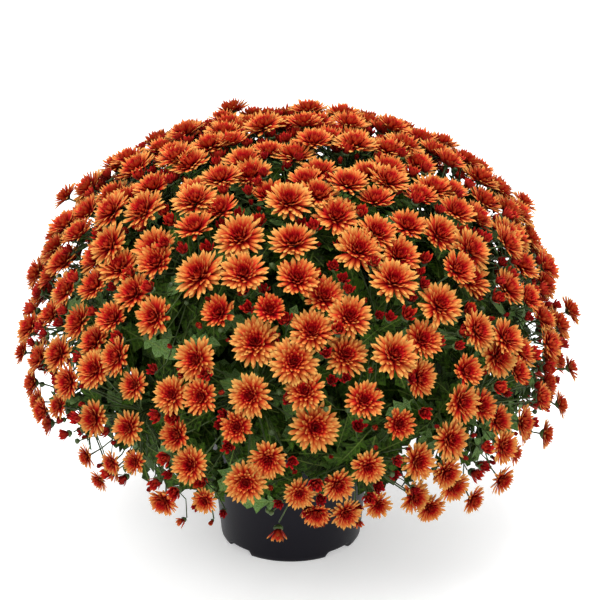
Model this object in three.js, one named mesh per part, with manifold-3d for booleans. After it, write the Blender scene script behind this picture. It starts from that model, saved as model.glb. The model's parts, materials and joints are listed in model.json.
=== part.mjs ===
// Pot chrysanthemum: a dome of orange double blooms over dark leaves, standing in a black nursery pot.
// Millimetres, +Z up, front towards -Y, origin at the middle of the pot's base.
//
// The pot and the soil are turned pieces. Every leafy stem stands in its own hole in the soil and ends
// under the fork of one spray, a node of blooms on stalks that meet in that fork.

import * as THREE from "three";
import { mergeGeometries, mergeVertices } from "three/addons/utils/BufferGeometryUtils.js";
import Module from "manifold-3d";

const wasm = await Module();
wasm.setup();

// ---------------------------------------------------------------- driving dimensions

const SEED = 20611;
const GAP = 0.35; // left between pieces that touch
const GOLDEN_ANGLE = Math.PI * (3 - Math.sqrt(5));
const UP = new THREE.Vector3(0, 0, 1);
const ORIGIN = new THREE.Vector3();

const POT = {
  baseRadius: 80,
  rimRadius: 93,
  height: 142,
  wall: 2,
  floor: 9,
  lipDrop: 14, // height of the band round the rim
  lipOut: 3,
  chamfer: 2.5,
  sides: 32,
};
const DRAIN = { count: 4, turn: THREE.MathUtils.degToRad(-47), width: 34, depth: 9, height: 7 };
const SOIL = { top: 128, sides: 16 };

const CANOPY = {
  shift: 5, // the crown leans this far to +X
  centreHeight: 222,
  reach: 290, // half the width, over the bloom centres
  rise: 252,
  fall: 145,
  shoulder: 0.88, // under 1 fills out the dome's upper corners
  skirt: THREE.MathUtils.degToRad(122), // polar angle of the lowest blooms
};

const SPRAYS = 26;
const ROOM = { top: 1280, skirt: 1980 }; // square millimetres of canopy for each bloom
const POLAR_STEP = THREE.MathUtils.degToRad(0.05);
const NORMAL_STEP = 0.001; // radians between the two points that give the dome's slope
const JITTER = { place: 0.3, depth: 9, tilt: 0.2 };
const LEAN = 0.82; // how far a bloom's face turns from straight up, for each degree of polar angle

// Blooms known one by one: [degrees right of the front, polar degrees, radius], largest first.
const FRONT_BLOOMS = [
  [4, 83, 23],
  [-9, 95, 21.5],
  [0, 69, 21],
  [20, 69, 21],
  [-8, 65, 21],
  [-23, 51, 21],
  [-15, 41, 20],
  [32, 89, 20],
  [25, 94, 20],
  [17, 44, 19.5],
  [23, 53, 19.5],
  [11, 115, 18],
  [-24, 78, 18],
  [1, 102, 17],
  [14, 91, 17],
  [18, 114, 16],
  [-18, 107, 15],
];
// Blooms that give the outline its bumps: the same three values and how far they stand out of the dome.
const OUTER_BLOOMS = [
  [-148, 24, 17.5, 13],
  [-135, 20, 15, 6],
  [-93, 52, 15.5, 17],
  [-78, 86, 15, 9],
  [86, 80, 18, 14],
  [98, 55, 15, 12],
  [81, 90, 16, 12],
  [72, 98, 17.5, 10],
  [66, 106, 19, 12],
  [57, 111, 16, 2],
  [51, 115, 18, 16],
  [44, 120, 17.5, 18],
  [32, 120, 18, 10],
  [-52, 120, 14, 10],
  [-44, 88, 19, -3],
  [-34, 87, 17.5, 0],
  [-56, 89, 15, 0],
  [-40, 102, 14.5, 0],
  [-50, 107, 15, 0],
  [-33, 97, 14.5, 0],
  [-33, 78, 15.5, 0],
  [-20, 70, 19.5, -2],
];
const KNOWN_ROOM = 29; // no bloom drawn by the rule is nearer than this to one of those above
// Directions in which the skirt is bare, and how far round them no bloom is drawn by the rule.
const BARE = [
  [-82, 103],
  [-64, 114],
  [-36, 121],
];
const BARE_ROOM = 34;

const BLOOM = {
  young: 13.5, // radius
  grown: 19.5,
  valley: 0.72, // radius between two petals, as a share of the bloom's
  valleyRise: 0.2,
  tipRise: 0.34, // how far a young bloom's tips stand up
  dish: 0.06,
  inner: 0.56,
  innerRise: 0.42,
  neck: 0.13,
  neckDrop: 0.3,
  clear: 0.25, // kept from the plane between two neighbours
};
const PETALS = { young: 5, grown: 6, large: 8 };
const GROWN_AGE = 0.84; // from which a bloom has the grown number of petals
const LARGE_BLOOM = 20.5; // radius from which a bloom has a second layer

const FORK = { below: 50, radius: 6, depth: 6 };
const WALL_CLEAR = 0.05; // kept between two stalks

const STEM = {
  holeSpread: 74, // radius of the ring that holds the outermost stems
  depth: 26,
  radius: 3.4,
  tip: 2.4,
  bend: 78, // height of the bend over the soil
  sides: 3,
};
const CORE = {
  waist: { along: 0.5, radius: 9, corners: 3, notch: 1 },
  crown: { along: 0.87, radius: 50, corners: 8, notch: 0.66 }, // every second corner is drawn in
  top: 0.94,
  ragged: 0.12,
  clear: 1.5,
};

const LEAF = {
  length: 62,
  // one side of the outline from the root to the tip, as shares of the length: lobe, notch, lobe
  side: [
    [0.3, 0.3],
    [0.47, 0.15],
    [0.66, 0.27],
  ],
  rib: 0.45,
  arch: 0.1,
  thickness: 1.8,
  nearest: 0.3, // where the root lies in the core, as a share of its radius
  furthest: 0.6,
  flattest: 0.4, // slope over the core, in radians
  steepest: 1.15,
  hanging: 0.3, // a spray that faces lower than this also has leaves that hang
  clear: 0.5,
  perStem: 4,
  perHanging: 5,
  tries: 18,
  sliver: 0.12, // a leaf that would leave two corners nearer than this is left off
};

const COLOUR = { petal: 0xd1683a, leaf: 0x3a4a26, pot: 0x242226, soil: 0x3b2a20 };

// ---------------------------------------------------------------- small tools

// A seeded stream of numbers from 0 to 1.
function makeRandom(seed) {
  let state = seed >>> 0;
  return () => {
    state = (Math.imul(state, 1664525) + 1013904223) >>> 0;
    return state / 4294967296;
  };
}

function centred(random, spread) {
  return (2 * random() - 1) * spread;
}

function mix(from, to, share) {
  return from + (to - from) * share;
}

function toSolid(geometry) {
  const bare = geometry.clone();
  bare.deleteAttribute("normal");
  bare.deleteAttribute("uv");
  const merged = mergeVertices(bare, 1e-4);
  return new wasm.Manifold(
    new wasm.Mesh({
      numProp: 3,
      vertProperties: new Float32Array(merged.attributes.position.array),
      triVerts: new Uint32Array(merged.index.array),
    }),
  );
}

function toGeometry(solid) {
  const mesh = solid.getMesh();
  const geometry = new THREE.BufferGeometry();
  geometry.setAttribute("position", new THREE.BufferAttribute(mesh.vertProperties, 3));
  geometry.setIndex(new THREE.BufferAttribute(mesh.triVerts, 1));
  geometry.computeVertexNormals();
  return geometry;
}

// A ring of points round a centre, in the plane of two unit vectors.
function ringAt(centre, xAxis, yAxis, count, radiusOf, turn = 0) {
  const points = [];
  for (let i = 0; i < count; i += 1) {
    const angle = turn + (2 * Math.PI * i) / count;
    const radius = radiusOf(i);
    const point = centre.clone();
    point.addScaledVector(xAxis, radius * Math.cos(angle));
    point.addScaledVector(yAxis, radius * Math.sin(angle));
    points.push(point);
  }
  return points;
}

// Two unit vectors square to an axis, the first as near as can be to a wanted direction.
function squareTo(axis, wanted) {
  const xAxis = wanted.clone().addScaledVector(axis, -wanted.dot(axis));
  if (xAxis.lengthSq() < 1e-6) {
    xAxis.set(1, 0, 0).addScaledVector(axis, -axis.x);
  }
  xAxis.normalize();
  return [xAxis, new THREE.Vector3().crossVectors(axis, xAxis)];
}

// A skin over a row of rings, which may have different numbers of points, down to one.
function loft(rings, closeLow = true, closeHigh = true) {
  const positions = [];
  const starts = [];
  for (const ring of rings) {
    starts.push(positions.length / 3);
    ring.forEach((point) => positions.push(point.x, point.y, point.z));
  }
  const index = [];
  for (let r = 0; r + 1 < rings.length; r += 1) {
    const low = rings[r].length;
    const high = rings[r + 1].length;
    const lowSteps = low > 1 ? low : 0;
    const highSteps = high > 1 ? high : 0;
    let i = 0;
    let j = 0;
    while (i < lowSteps || j < highSteps) {
      const a = starts[r] + (i % low);
      const b = starts[r + 1] + (j % high);
      const stepLow = j === highSteps || (i < lowSteps && (i + 1) / low < (j + 1) / high);
      if (stepLow) {
        index.push(a, starts[r] + ((i + 1) % low), b);
        i += 1;
      } else {
        index.push(a, starts[r + 1] + ((j + 1) % high), b);
        j += 1;
      }
    }
  }
  const last = starts[starts.length - 1];
  for (let i = 1; closeLow && i + 1 < rings[0].length; i += 1) {
    index.push(0, i + 1, i);
  }
  for (let i = 1; closeHigh && i + 1 < rings[rings.length - 1].length; i += 1) {
    index.push(last, last + i, last + i + 1);
  }
  const geometry = new THREE.BufferGeometry();
  geometry.setAttribute("position", new THREE.Float32BufferAttribute(positions, 3));
  geometry.setIndex(index);
  return geometry;
}

// A corner is drawn in towards its home until it is clear of the plane between that and each rival.
// A rival's share is the part of the way to it that belongs to the home.
function drawnIn(corner, home, rivals, clear) {
  const arm = corner.clone().sub(home);
  for (const { centre, share } of rivals) {
    const apart = centre.clone().sub(home);
    const distance = apart.length();
    apart.divideScalar(distance);
    const limit = distance * share - clear;
    const reach = arm.dot(apart);
    if (reach > limit) {
      arm.multiplyScalar(limit / reach);
    }
  }
  return arm.add(home);
}

// ---------------------------------------------------------------- the canopy and its rule

// A point of the dome at a polar angle from the top, at a share of the way out from its middle.
function canopyPoint(polar, azimuth, share = 1) {
  const up = Math.cos(polar);
  const power = up > 0 ? CANOPY.shoulder : 1;
  const out = CANOPY.reach * Math.sin(polar) ** power;
  const lift = up > 0 ? CANOPY.rise * up ** power : CANOPY.fall * up;
  return new THREE.Vector3(
    CANOPY.shift + out * Math.cos(azimuth) * share,
    out * Math.sin(azimuth) * share,
    CANOPY.centreHeight + lift * share,
  );
}

function canopyNormal(polar, azimuth) {
  const here = canopyPoint(polar, azimuth);
  const down = canopyPoint(polar + NORMAL_STEP, azimuth).sub(here);
  const round = new THREE.Vector3(-Math.sin(azimuth), Math.cos(azimuth), 0);
  return down.cross(round).normalize();
}

// Polar angles that give each site its room, from the top down.
function polarSites(roomAt) {
  const polars = [];
  let count = 0;
  for (let polar = POLAR_STEP; polar < CANOPY.skirt; polar += POLAR_STEP) {
    const here = canopyPoint(polar, 0);
    const step = here.distanceTo(canopyPoint(polar - POLAR_STEP, 0));
    count += (2 * Math.PI * (here.x - CANOPY.shift) * step) / roomAt(polar);
    if (count >= polars.length + 0.5) {
      polars.push(polar);
    }
  }
  return polars;
}

function bloomRoom(polar) {
  return mix(ROOM.top, ROOM.skirt, polar / CANOPY.skirt);
}

function spraySites() {
  const area = polarSites(() => 1000).length * 1000;
  return polarSites(() => area / SPRAYS).map((polar, k) => ({ polar, azimuth: k * GOLDEN_ANGLE }));
}

function makeBloom(polar, azimuth, lift, radius, age, random) {
  const outward = canopyNormal(polar, azimuth);
  const centre = canopyPoint(polar, azimuth).addScaledVector(outward, lift);
  const faceAzimuth = azimuth + centred(random, JITTER.tilt);
  const facePolar = polar * LEAN + centred(random, JITTER.tilt);
  const facing = new THREE.Vector3(
    Math.sin(facePolar) * Math.cos(faceAzimuth),
    Math.sin(facePolar) * Math.sin(faceAzimuth),
    Math.cos(facePolar),
  );
  return { centre, outward, facing, radius, age, turn: random() };
}

// The two angles of a direction given by degrees right of the front and down from the top.
function anglesOf([right, polar]) {
  return [THREE.MathUtils.degToRad(polar), THREE.MathUtils.degToRad(right - 90)];
}

function bloomSites() {
  const random = makeRandom(SEED);
  const front = FRONT_BLOOMS.map((known) => {
    return makeBloom(...anglesOf(known), centred(random, JITTER.depth), known[2], 1, random);
  });
  const ruled = polarSites(bloomRoom).map((sitePolar, i) => {
    const spacing = Math.sqrt(bloomRoom(sitePolar));
    const shake = (spacing * JITTER.place) / CANOPY.reach;
    const polar = Math.abs(sitePolar + centred(random, shake));
    const azimuth = i * GOLDEN_ANGLE + centred(random, shake) / Math.max(Math.sin(sitePolar), 0.1);
    const age = Math.sqrt(random());
    const radius = mix(BLOOM.young, BLOOM.grown, age);
    return makeBloom(polar, azimuth, centred(random, JITTER.depth), radius, age, random);
  });
  const outer = OUTER_BLOOMS.map((known) => makeBloom(...anglesOf(known), known[3], known[2], 1, random));
  const kept = [
    ...[...front, ...outer].map(({ centre }) => ({ centre, room: KNOWN_ROOM })),
    ...BARE.map((place) => ({ centre: canopyPoint(...anglesOf(place)), room: BARE_ROOM })),
  ];
  const isFree = (bloom) => kept.every(({ centre, room }) => centre.distanceTo(bloom.centre) >= room);
  return [...front, ...ruled.filter(isFree), ...outer];
}

function nearestSpray(bloom, sprays) {
  const distances = sprays.map(({ crown }) => bloom.centre.distanceTo(crown));
  return sprays[distances.indexOf(Math.min(...distances))];
}

// ---------------------------------------------------------------- pot and soil

function buildPot() {
  const { baseRadius, rimRadius, height, wall, floor, lipDrop, lipOut, chamfer, sides } = POT;
  const radiusAt = (z) => mix(baseRadius, rimRadius, z / height);
  const profile = [
    [0, 0],
    [baseRadius - chamfer, 0],
    [radiusAt(chamfer), chamfer],
    [radiusAt(height - lipDrop), height - lipDrop],
    [radiusAt(height - lipDrop) + lipOut, height - lipDrop + lipOut],
    [rimRadius + lipOut, height],
    [rimRadius - wall, height],
    [radiusAt(floor) - wall, floor],
    [0, floor],
  ].map(([radius, z]) => new THREE.Vector2(radius, z));
  const shell = new THREE.LatheGeometry(profile, sides).rotateX(Math.PI / 2);
  let pot = toSolid(shell);
  for (let k = 0; k < DRAIN.count; k += 1) {
    const angle = DRAIN.turn - Math.PI / 2 + (2 * Math.PI * k) / DRAIN.count;
    const notch = new THREE.BoxGeometry(DRAIN.depth * 2, DRAIN.width, DRAIN.height * 2);
    notch.translate(POT.baseRadius, 0, 0).rotateZ(angle);
    pot = pot.subtract(toSolid(notch));
  }
  return pot;
}

function buildSoil(holes) {
  const flats = Math.cos(Math.PI / POT.sides); // keeps the soil's corners off the flats of the wall
  const innerAt = (z) => (mix(POT.baseRadius, POT.rimRadius, z / POT.height) - POT.wall) * flats - GAP;
  const bottom = POT.floor + GAP;
  const profile = [
    [0, bottom],
    [innerAt(bottom), bottom],
    [innerAt(SOIL.top), SOIL.top],
    [0, SOIL.top],
  ].map(([radius, z]) => new THREE.Vector2(radius, z));
  let soil = toSolid(new THREE.LatheGeometry(profile, SOIL.sides).rotateX(Math.PI / 2));
  for (const hole of holes) {
    soil = soil.subtract(toSolid(hole));
  }
  return soil;
}

// ---------------------------------------------------------------- blooms

function petalCount(bloom) {
  if (bloom.radius >= LARGE_BLOOM) {
    return PETALS.large;
  }
  return bloom.age > GROWN_AGE ? PETALS.grown : PETALS.young;
}

// The blooms near enough to touch another, each with the share of the way between that is the other's.
function rivalsOf(bloom, blooms) {
  const near = (other) => other.centre.distanceTo(bloom.centre) < other.radius + bloom.radius + 2;
  const rivals = blooms.filter((other) => other !== bloom && near(other));
  return rivals.map(({ centre, radius }) => ({ centre, share: bloom.radius / (bloom.radius + radius) }));
}

// A bloom on its stalk, as an open skin that starts from one slice of the fork's top. The stalk's upper
// end stays between the slice's two walls, which are given by their outward directions.
function bloomSkin(bloom, slice, walls, axis, rivals) {
  const { centre, facing, radius } = bloom;
  const count = petalCount(bloom);
  const inward = axis.clone().multiplyScalar(centre.clone().sub(slice[0]).dot(axis));
  inward.add(slice[0]).sub(centre);
  const [xAxis, yAxis] = squareTo(facing, inward);
  const turn = ((bloom.turn - 0.5) * Math.PI) / count;
  const level = (rise) => centre.clone().addScaledVector(facing, radius * rise);
  const corners = (rise, number, share, start) => {
    const ring = ringAt(level(rise), xAxis, yAxis, number, () => radius * share, start);
    return ring.map((point) => drawnIn(point, centre, rivals, BLOOM.clear));
  };
  const neck = corners(-BLOOM.neckDrop, slice.length, BLOOM.neck, 0);
  for (const corner of neck) {
    for (const wall of walls) {
      const over = corner.clone().sub(slice[0]).dot(wall) + WALL_CLEAR;
      corner.addScaledVector(wall, -Math.max(0, over));
    }
  }
  const tips = corners(BLOOM.tipRise * (1 - bloom.age), 2 * count, 1, turn);
  const valleys = corners(BLOOM.valleyRise, 2 * count, BLOOM.valley, turn);
  const outline = tips.map((tip, i) => (i % 2 ? valleys[i] : tip));
  const rings = [slice, neck, outline];
  if (count === PETALS.large) {
    rings.push(corners(BLOOM.innerRise, count, BLOOM.inner, turn + Math.PI / count));
  }
  rings.push([level(BLOOM.dish)]);
  return loft(rings, false);
}

// All stalks start from slices of the fork's round top, in their order round it, so none crosses another.
function buildSpray({ fork, axis, blooms: own }, blooms) {
  const [xAxis, yAxis] = squareTo(axis, UP);
  const ordered = own.map((bloom) => {
    const neck = bloom.centre.clone().addScaledVector(bloom.facing, -bloom.radius * BLOOM.neckDrop);
    const arm = neck.sub(fork);
    const across = arm.dot(xAxis);
    const up = arm.dot(yAxis);
    return { bloom, angle: Math.atan2(up, across), out: Math.hypot(across, up) };
  });
  ordered.sort((a, b) => a.angle - b.angle);
  const count = ordered.length;
  // Between two stalks the nearer one gets the wider share of the turn.
  const edges = ordered.map(({ angle, out }, i) => {
    const before = ordered[(i + count - 1) % count];
    const from = before.angle - (i ? 0 : 2 * Math.PI);
    return mix(from, angle, out / (out + before.out));
  });
  const rim = edges.map((edge) => ringAt(fork, xAxis, yAxis, 1, () => FORK.radius, edge)[0]);
  const walls = edges.map((edge) => ringAt(ORIGIN, xAxis, yAxis, 1, () => 1, edge + Math.PI / 2)[0]);
  const seat = fork.clone().addScaledVector(axis, -FORK.depth);
  const base = ringAt(seat, xAxis, yAxis, STEM.sides, () => STEM.tip, edges[0]);
  const skins = ordered.map(({ bloom }, i) => {
    const next = (i + 1) % count;
    const slice = [fork, rim[i], rim[next]];
    return bloomSkin(bloom, slice, [walls[i].clone().negate(), walls[next]], axis, rivalsOf(bloom, blooms));
  });
  return toSolid(mergeGeometries([loft([base, rim], true, false), ...skins]));
}

// ---------------------------------------------------------------- leafy stems

// The stem's line from the bottom of its hole, up over the rim and out to the fork.
function stemCurve(spray) {
  const foot = spray.foot.clone();
  const bend = foot.clone();
  bend.z = SOIL.top + STEM.bend + 0.3 * Math.max(0, spray.fork.z - SOIL.top - STEM.bend);
  return new THREE.QuadraticBezierCurve3(foot, bend, spray.seat);
}

function buildCore(spray, sprays, random) {
  const curve = stemCurve(spray);
  const flat = [new THREE.Vector3(1, 0, 0), new THREE.Vector3(0, 1, 0)];
  const bottom = spray.foot.clone();
  bottom.z = SOIL.top - STEM.depth;
  const rings = [
    ringAt(bottom, ...flat, STEM.sides, () => STEM.radius),
    ringAt(spray.foot, ...flat, STEM.sides, () => STEM.radius),
  ];
  for (const { along, radius, corners, notch } of [CORE.waist, CORE.crown]) {
    const middle = curve.getPoint(along);
    const rivals = sprays.filter((other) => other !== spray).map((other) => {
      return { centre: stemCurve(other).getPoint(along), share: 0.5 };
    });
    const ragged = (i) => radius * (i % 2 ? notch : 1) * (1 + centred(random, CORE.ragged));
    const ring = ringAt(middle, ...squareTo(curve.getTangent(along), UP), corners, ragged);
    rings.push(ring.map((corner) => drawnIn(corner, middle, rivals, CORE.clear)));
  }
  const end = squareTo(spray.axis, UP);
  rings.push(ringAt(curve.getPoint(CORE.top), ...end, STEM.sides, () => STEM.tip * 2));
  rings.push(ringAt(spray.seat, ...end, STEM.sides, () => STEM.tip));
  return toSolid(loft(rings));
}

// A lobed blade along one axis with its upper face towards another.
function leafGeometry(root, along, face, length) {
  const across = new THREE.Vector3().crossVectors(face, along);
  const place = ([forward, side], lift) => {
    const point = root.clone().addScaledVector(along, forward * length);
    point.addScaledVector(across, side * length);
    return point.addScaledVector(face, lift);
  };
  const sag = (forward) => -LEAF.arch * length * forward * forward;
  const left = LEAF.side.map(([forward, side]) => place([forward, side], sag(forward) - 1));
  const right = LEAF.side.map(([forward, side]) => place([forward, -side], sag(forward) - 1));
  const outline = [place([0, 0], 0), ...right, place([1, 0], sag(1)), ...left.reverse()];
  const ridge = place([LEAF.rib, 0], sag(LEAF.rib) + LEAF.thickness / 2);
  const keel = place([LEAF.rib, 0], sag(LEAF.rib) - LEAF.thickness / 2);
  return loft([[keel], outline, [ridge]]);
}

function hangs(spray) {
  return spray.axis.z < LEAF.hanging;
}

function tryLeaf(spray, random) {
  const [xAxis, yAxis] = squareTo(spray.axis, UP);
  const round = random() * 2 * Math.PI;
  const sideways = new THREE.Vector3();
  sideways.addScaledVector(xAxis, Math.cos(round)).addScaledVector(yAxis, Math.sin(round));
  const root = stemCurve(spray).getPoint(CORE.crown.along + 0.02);
  root.addScaledVector(sideways, CORE.crown.radius * mix(LEAF.nearest, LEAF.furthest, random()));
  const lowest = hangs(spray) ? -LEAF.flattest : LEAF.flattest;
  const slope = mix(lowest, LEAF.steepest, random());
  const along = new THREE.Vector3();
  along.addScaledVector(sideways, Math.cos(slope)).addScaledVector(spray.axis, Math.sin(slope)).normalize();
  const [face] = squareTo(along, spray.axis);
  return toSolid(leafGeometry(root, along, face, LEAF.length * mix(0.8, 1.1, random())));
}

function isClear(solid, others) {
  const box = solid.boundingBox();
  return others.every((other) => {
    const apart = [0, 1, 2].some((axis) => {
      const below = other.box.max[axis] + LEAF.clear < box.min[axis];
      return below || other.box.min[axis] - LEAF.clear > box.max[axis];
    });
    return apart || other.solid.minGap(solid, LEAF.clear * 2) > LEAF.clear;
  });
}

function withBox(solid) {
  return { solid, box: solid.boundingBox() };
}

// The least distance between two corners of a solid.
function cornerGap(solid) {
  const { vertProperties: flat } = solid.getMesh();
  const corners = [];
  for (let i = 0; i < flat.length; i += 3) {
    corners.push(new THREE.Vector3().fromArray(flat, i));
  }
  const gaps = corners.map((corner, i) => {
    return Math.min(...corners.slice(i + 1).map((other) => corner.distanceTo(other)));
  });
  return Math.min(...gaps);
}

// Leaves are tried one after another. One is left off that would cross another piece, miss the stem, or
// meet it in slivers.
function addLeaves(spray, core, others, random) {
  const leaves = [];
  const wanted = hangs(spray) ? LEAF.perHanging : LEAF.perStem;
  let stem = core;
  for (let i = 0; i < LEAF.tries && leaves.length < wanted; i += 1) {
    const leaf = tryLeaf(spray, random);
    if (isClear(leaf, [...others, ...leaves])) {
      const joined = stem.add(leaf);
      if (joined.decompose().length === 1 && cornerGap(joined) > LEAF.sliver) {
        leaves.push(withBox(leaf));
        stem = joined;
      }
    }
  }
  return stem;
}

// ---------------------------------------------------------------- the plant

// The fork of a spray lies under the middle of its blooms, square to the way that they face.
function layOutSprays(blooms) {
  const sprays = spraySites().map(({ polar, azimuth }, k) => {
    const spread = STEM.holeSpread * Math.sqrt((k + 0.5) / SPRAYS);
    const foot = new THREE.Vector3(spread * Math.cos(azimuth), spread * Math.sin(azimuth), SOIL.top);
    return { foot, crown: canopyPoint(polar, azimuth), blooms: [] };
  });
  for (const bloom of blooms) {
    nearestSpray(bloom, sprays).blooms.push(bloom);
  }
  for (const spray of sprays) {
    spray.fork = new THREE.Vector3();
    spray.axis = new THREE.Vector3();
    for (const { centre, outward } of spray.blooms) {
      spray.fork.addScaledVector(centre, 1 / spray.blooms.length);
      spray.axis.add(outward);
    }
    spray.axis.normalize();
    spray.fork.addScaledVector(spray.axis, -FORK.below);
    spray.seat = spray.fork.clone().addScaledVector(spray.axis, -FORK.depth - GAP);
  }
  return sprays;
}

function stemHole(spray) {
  const bottom = spray.foot.clone();
  bottom.z = SOIL.top - STEM.depth - GAP;
  const top = spray.foot.clone();
  top.z = SOIL.top + 1;
  const flat = [new THREE.Vector3(1, 0, 0), new THREE.Vector3(0, 1, 0)];
  const radius = STEM.radius + 2 * GAP;
  return loft([bottom, top].map((middle) => ringAt(middle, ...flat, STEM.sides, () => radius)));
}

function material(color, roughness) {
  return new THREE.MeshStandardMaterial({ color, roughness, metalness: 0, flatShading: true });
}

function addNode(group, name, solid, look) {
  const mesh = new THREE.Mesh(toGeometry(solid), look);
  mesh.name = name;
  group.add(mesh);
}

function numbered(name, k) {
  return `${name}_${String(k + 1).padStart(2, "0")}`;
}

function buildPlant() {
  const plant = new THREE.Group();
  const blooms = bloomSites();
  const sprays = layOutSprays(blooms);
  addNode(plant, "pot", buildPot(), material(COLOUR.pot, 0.45));
  addNode(plant, "soil", buildSoil(sprays.map(stemHole)), material(COLOUR.soil, 0.95));

  const heads = sprays.map((spray) => withBox(buildSpray(spray, blooms)));
  heads.forEach(({ solid }, k) => {
    addNode(plant, numbered("spray", k), solid, material(COLOUR.petal, 0.6));
  });

  const random = makeRandom(SEED + 2);
  const cores = sprays.map((spray) => withBox(buildCore(spray, sprays, random)));
  const stems = [];
  sprays.forEach((spray, k) => {
    const rest = cores.filter((core, other) => other > k);
    const stem = addLeaves(spray, cores[k].solid, [...heads, ...rest, ...stems], random);
    stems.push(withBox(stem));
    addNode(plant, numbered("leafy_stem", k), stem, material(COLOUR.leaf, 0.7));
  });
  return plant;
}

export default buildPlant();
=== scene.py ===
"""Pot chrysanthemum: a dome of orange double blooms over dark lobed leaves, in a black nursery pot.

Metres, +Z up, the front towards -Y, the origin in the middle of the pot's base. The layout rule is the one
that places the solids: every bloom belongs to a spray, whose stalks meet in a fork on its own leafy stem.
"""

import sys

import itertools
import json
import logging
import math
from dataclasses import asdict, astuple, dataclass, field, replace
from enum import Enum
from typing import Any, Callable, Iterable, Sequence

import bpy
import numpy as np
from mathutils import Matrix, Quaternion, Vector

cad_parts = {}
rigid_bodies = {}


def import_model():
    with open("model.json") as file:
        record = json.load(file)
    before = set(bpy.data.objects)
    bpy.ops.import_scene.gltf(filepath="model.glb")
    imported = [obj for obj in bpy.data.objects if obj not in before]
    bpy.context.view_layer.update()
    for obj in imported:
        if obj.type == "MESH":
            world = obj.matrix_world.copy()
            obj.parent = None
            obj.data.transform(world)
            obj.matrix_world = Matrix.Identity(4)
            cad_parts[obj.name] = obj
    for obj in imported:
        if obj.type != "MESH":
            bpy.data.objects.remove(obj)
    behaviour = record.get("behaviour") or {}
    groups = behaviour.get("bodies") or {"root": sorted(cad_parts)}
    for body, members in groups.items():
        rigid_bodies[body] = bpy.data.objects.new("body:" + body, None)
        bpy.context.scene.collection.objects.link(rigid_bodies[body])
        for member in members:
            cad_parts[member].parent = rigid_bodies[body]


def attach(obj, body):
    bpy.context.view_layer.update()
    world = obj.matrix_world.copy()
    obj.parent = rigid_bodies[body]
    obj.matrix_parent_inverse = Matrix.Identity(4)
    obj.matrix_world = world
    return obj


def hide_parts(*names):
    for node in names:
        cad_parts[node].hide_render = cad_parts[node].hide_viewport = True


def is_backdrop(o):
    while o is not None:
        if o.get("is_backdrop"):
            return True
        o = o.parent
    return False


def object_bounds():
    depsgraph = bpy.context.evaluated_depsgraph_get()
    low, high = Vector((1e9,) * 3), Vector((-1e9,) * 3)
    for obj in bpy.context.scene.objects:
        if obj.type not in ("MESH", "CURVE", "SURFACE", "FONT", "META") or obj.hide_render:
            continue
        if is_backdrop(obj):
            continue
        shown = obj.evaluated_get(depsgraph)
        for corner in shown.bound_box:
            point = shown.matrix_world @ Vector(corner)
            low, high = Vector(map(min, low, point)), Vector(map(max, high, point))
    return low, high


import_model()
cad_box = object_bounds()

LOG = logging.getLogger("chrysanthemum")
GOLDEN_ANGLE = math.pi * (3 - math.sqrt(5))
MILLIMETRE = 1e-3
UP = np.array([0.0, 0.0, 1.0])

Point = np.ndarray
Point3 = tuple[float, float, float]
Colour = tuple[float, float, float]
# The two ends of a range, or the values at the top of the dome and at its skirt.
Ends = tuple[float, float]


# ---- named options


class Stage(Enum):
    """How far a flower has opened."""

    OPEN = "open"
    HALF_OPEN = "half_open"
    RED_BUD = "red_bud"
    GREEN_BUD = "green_bud"


class Part(Enum):
    """What a point of a leafy spray carries."""

    STALK = 0
    LEAF = 1
    CUP = 2


class Slot(Enum):
    """The finishes that the model's record names."""

    POT = "pot"
    SOIL = "soil"
    PETAL = "petal"
    LEAF = "leaf"


# ---- small tools


class Draws:
    """A seeded stream of numbers from 0 to 1, the same as the solids' own."""

    FACTOR = 1664525
    STEP = 1013904223
    RANGE = 2**32

    def __init__(self, seed: int) -> None:
        """Starts the stream from a seed."""
        self.state = seed % self.RANGE

    def next(self) -> float:
        """The next number, from 0 to 1."""
        self.state = (self.state * self.FACTOR + self.STEP) % self.RANGE
        return self.state / self.RANGE

    def centred(self, spread: float) -> float:
        """The next number, from -spread to spread."""
        return (2 * self.next() - 1) * spread

    def between(self, low: float, high: float) -> float:
        """The next number, from low to high."""
        return mix(low, high, self.next())


def mix(low: float, high: float, share: float) -> float:
    """The value a share of the way from low to high."""
    return low + (high - low) * share


def held(value: float) -> float:
    """The value kept from 0 to 1."""
    return min(1.0, max(0.0, value))


def unit(vector: Point) -> Point:
    """The vector at length 1."""
    return vector / np.linalg.norm(vector)


def place_at(radius: float, angle: float, height: float) -> Point3:
    """The point at a distance from the axis, an angle round it and a height."""
    return radius * math.cos(angle), radius * math.sin(angle), height


def ring_angles(sides: int) -> list[float]:
    """The angles of the points of a ring."""
    return [2 * math.pi * side / sides for side in range(sides)]


def direction(polar: float, azimuth: float) -> Point:
    """The unit vector at an angle from straight up and one from +X."""
    return np.array(place_at(math.sin(polar), azimuth, math.cos(polar)))


def curve_point(controls: Sequence[Point], share: float) -> Point:
    """The point of a cubic curve at a share of its way.

    Args:
        controls: Its start, the two points that it leans to, and its end.
        share: How far along it, from 0 to 1.

    Returns:
        The point.
    """
    start, first, second, end = controls
    back = 1 - share
    return back**3 * start + 3 * back**2 * share * first + 3 * back * share**2 * second + share**3 * end


def square_to(axis: Point, wanted: Point) -> Point:
    """The unit vector square to an axis that is nearest to a wanted direction.

    Args:
        axis: Unit vector of the axis.
        wanted: The direction. Where it runs along the axis, +X takes its place.

    Returns:
        The unit vector.
    """
    across = wanted - axis * wanted.dot(axis)
    if across.dot(across) < 1e-6:
        across = np.array([1.0, 0.0, 0.0]) - axis * axis[0]
    return unit(across)


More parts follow.
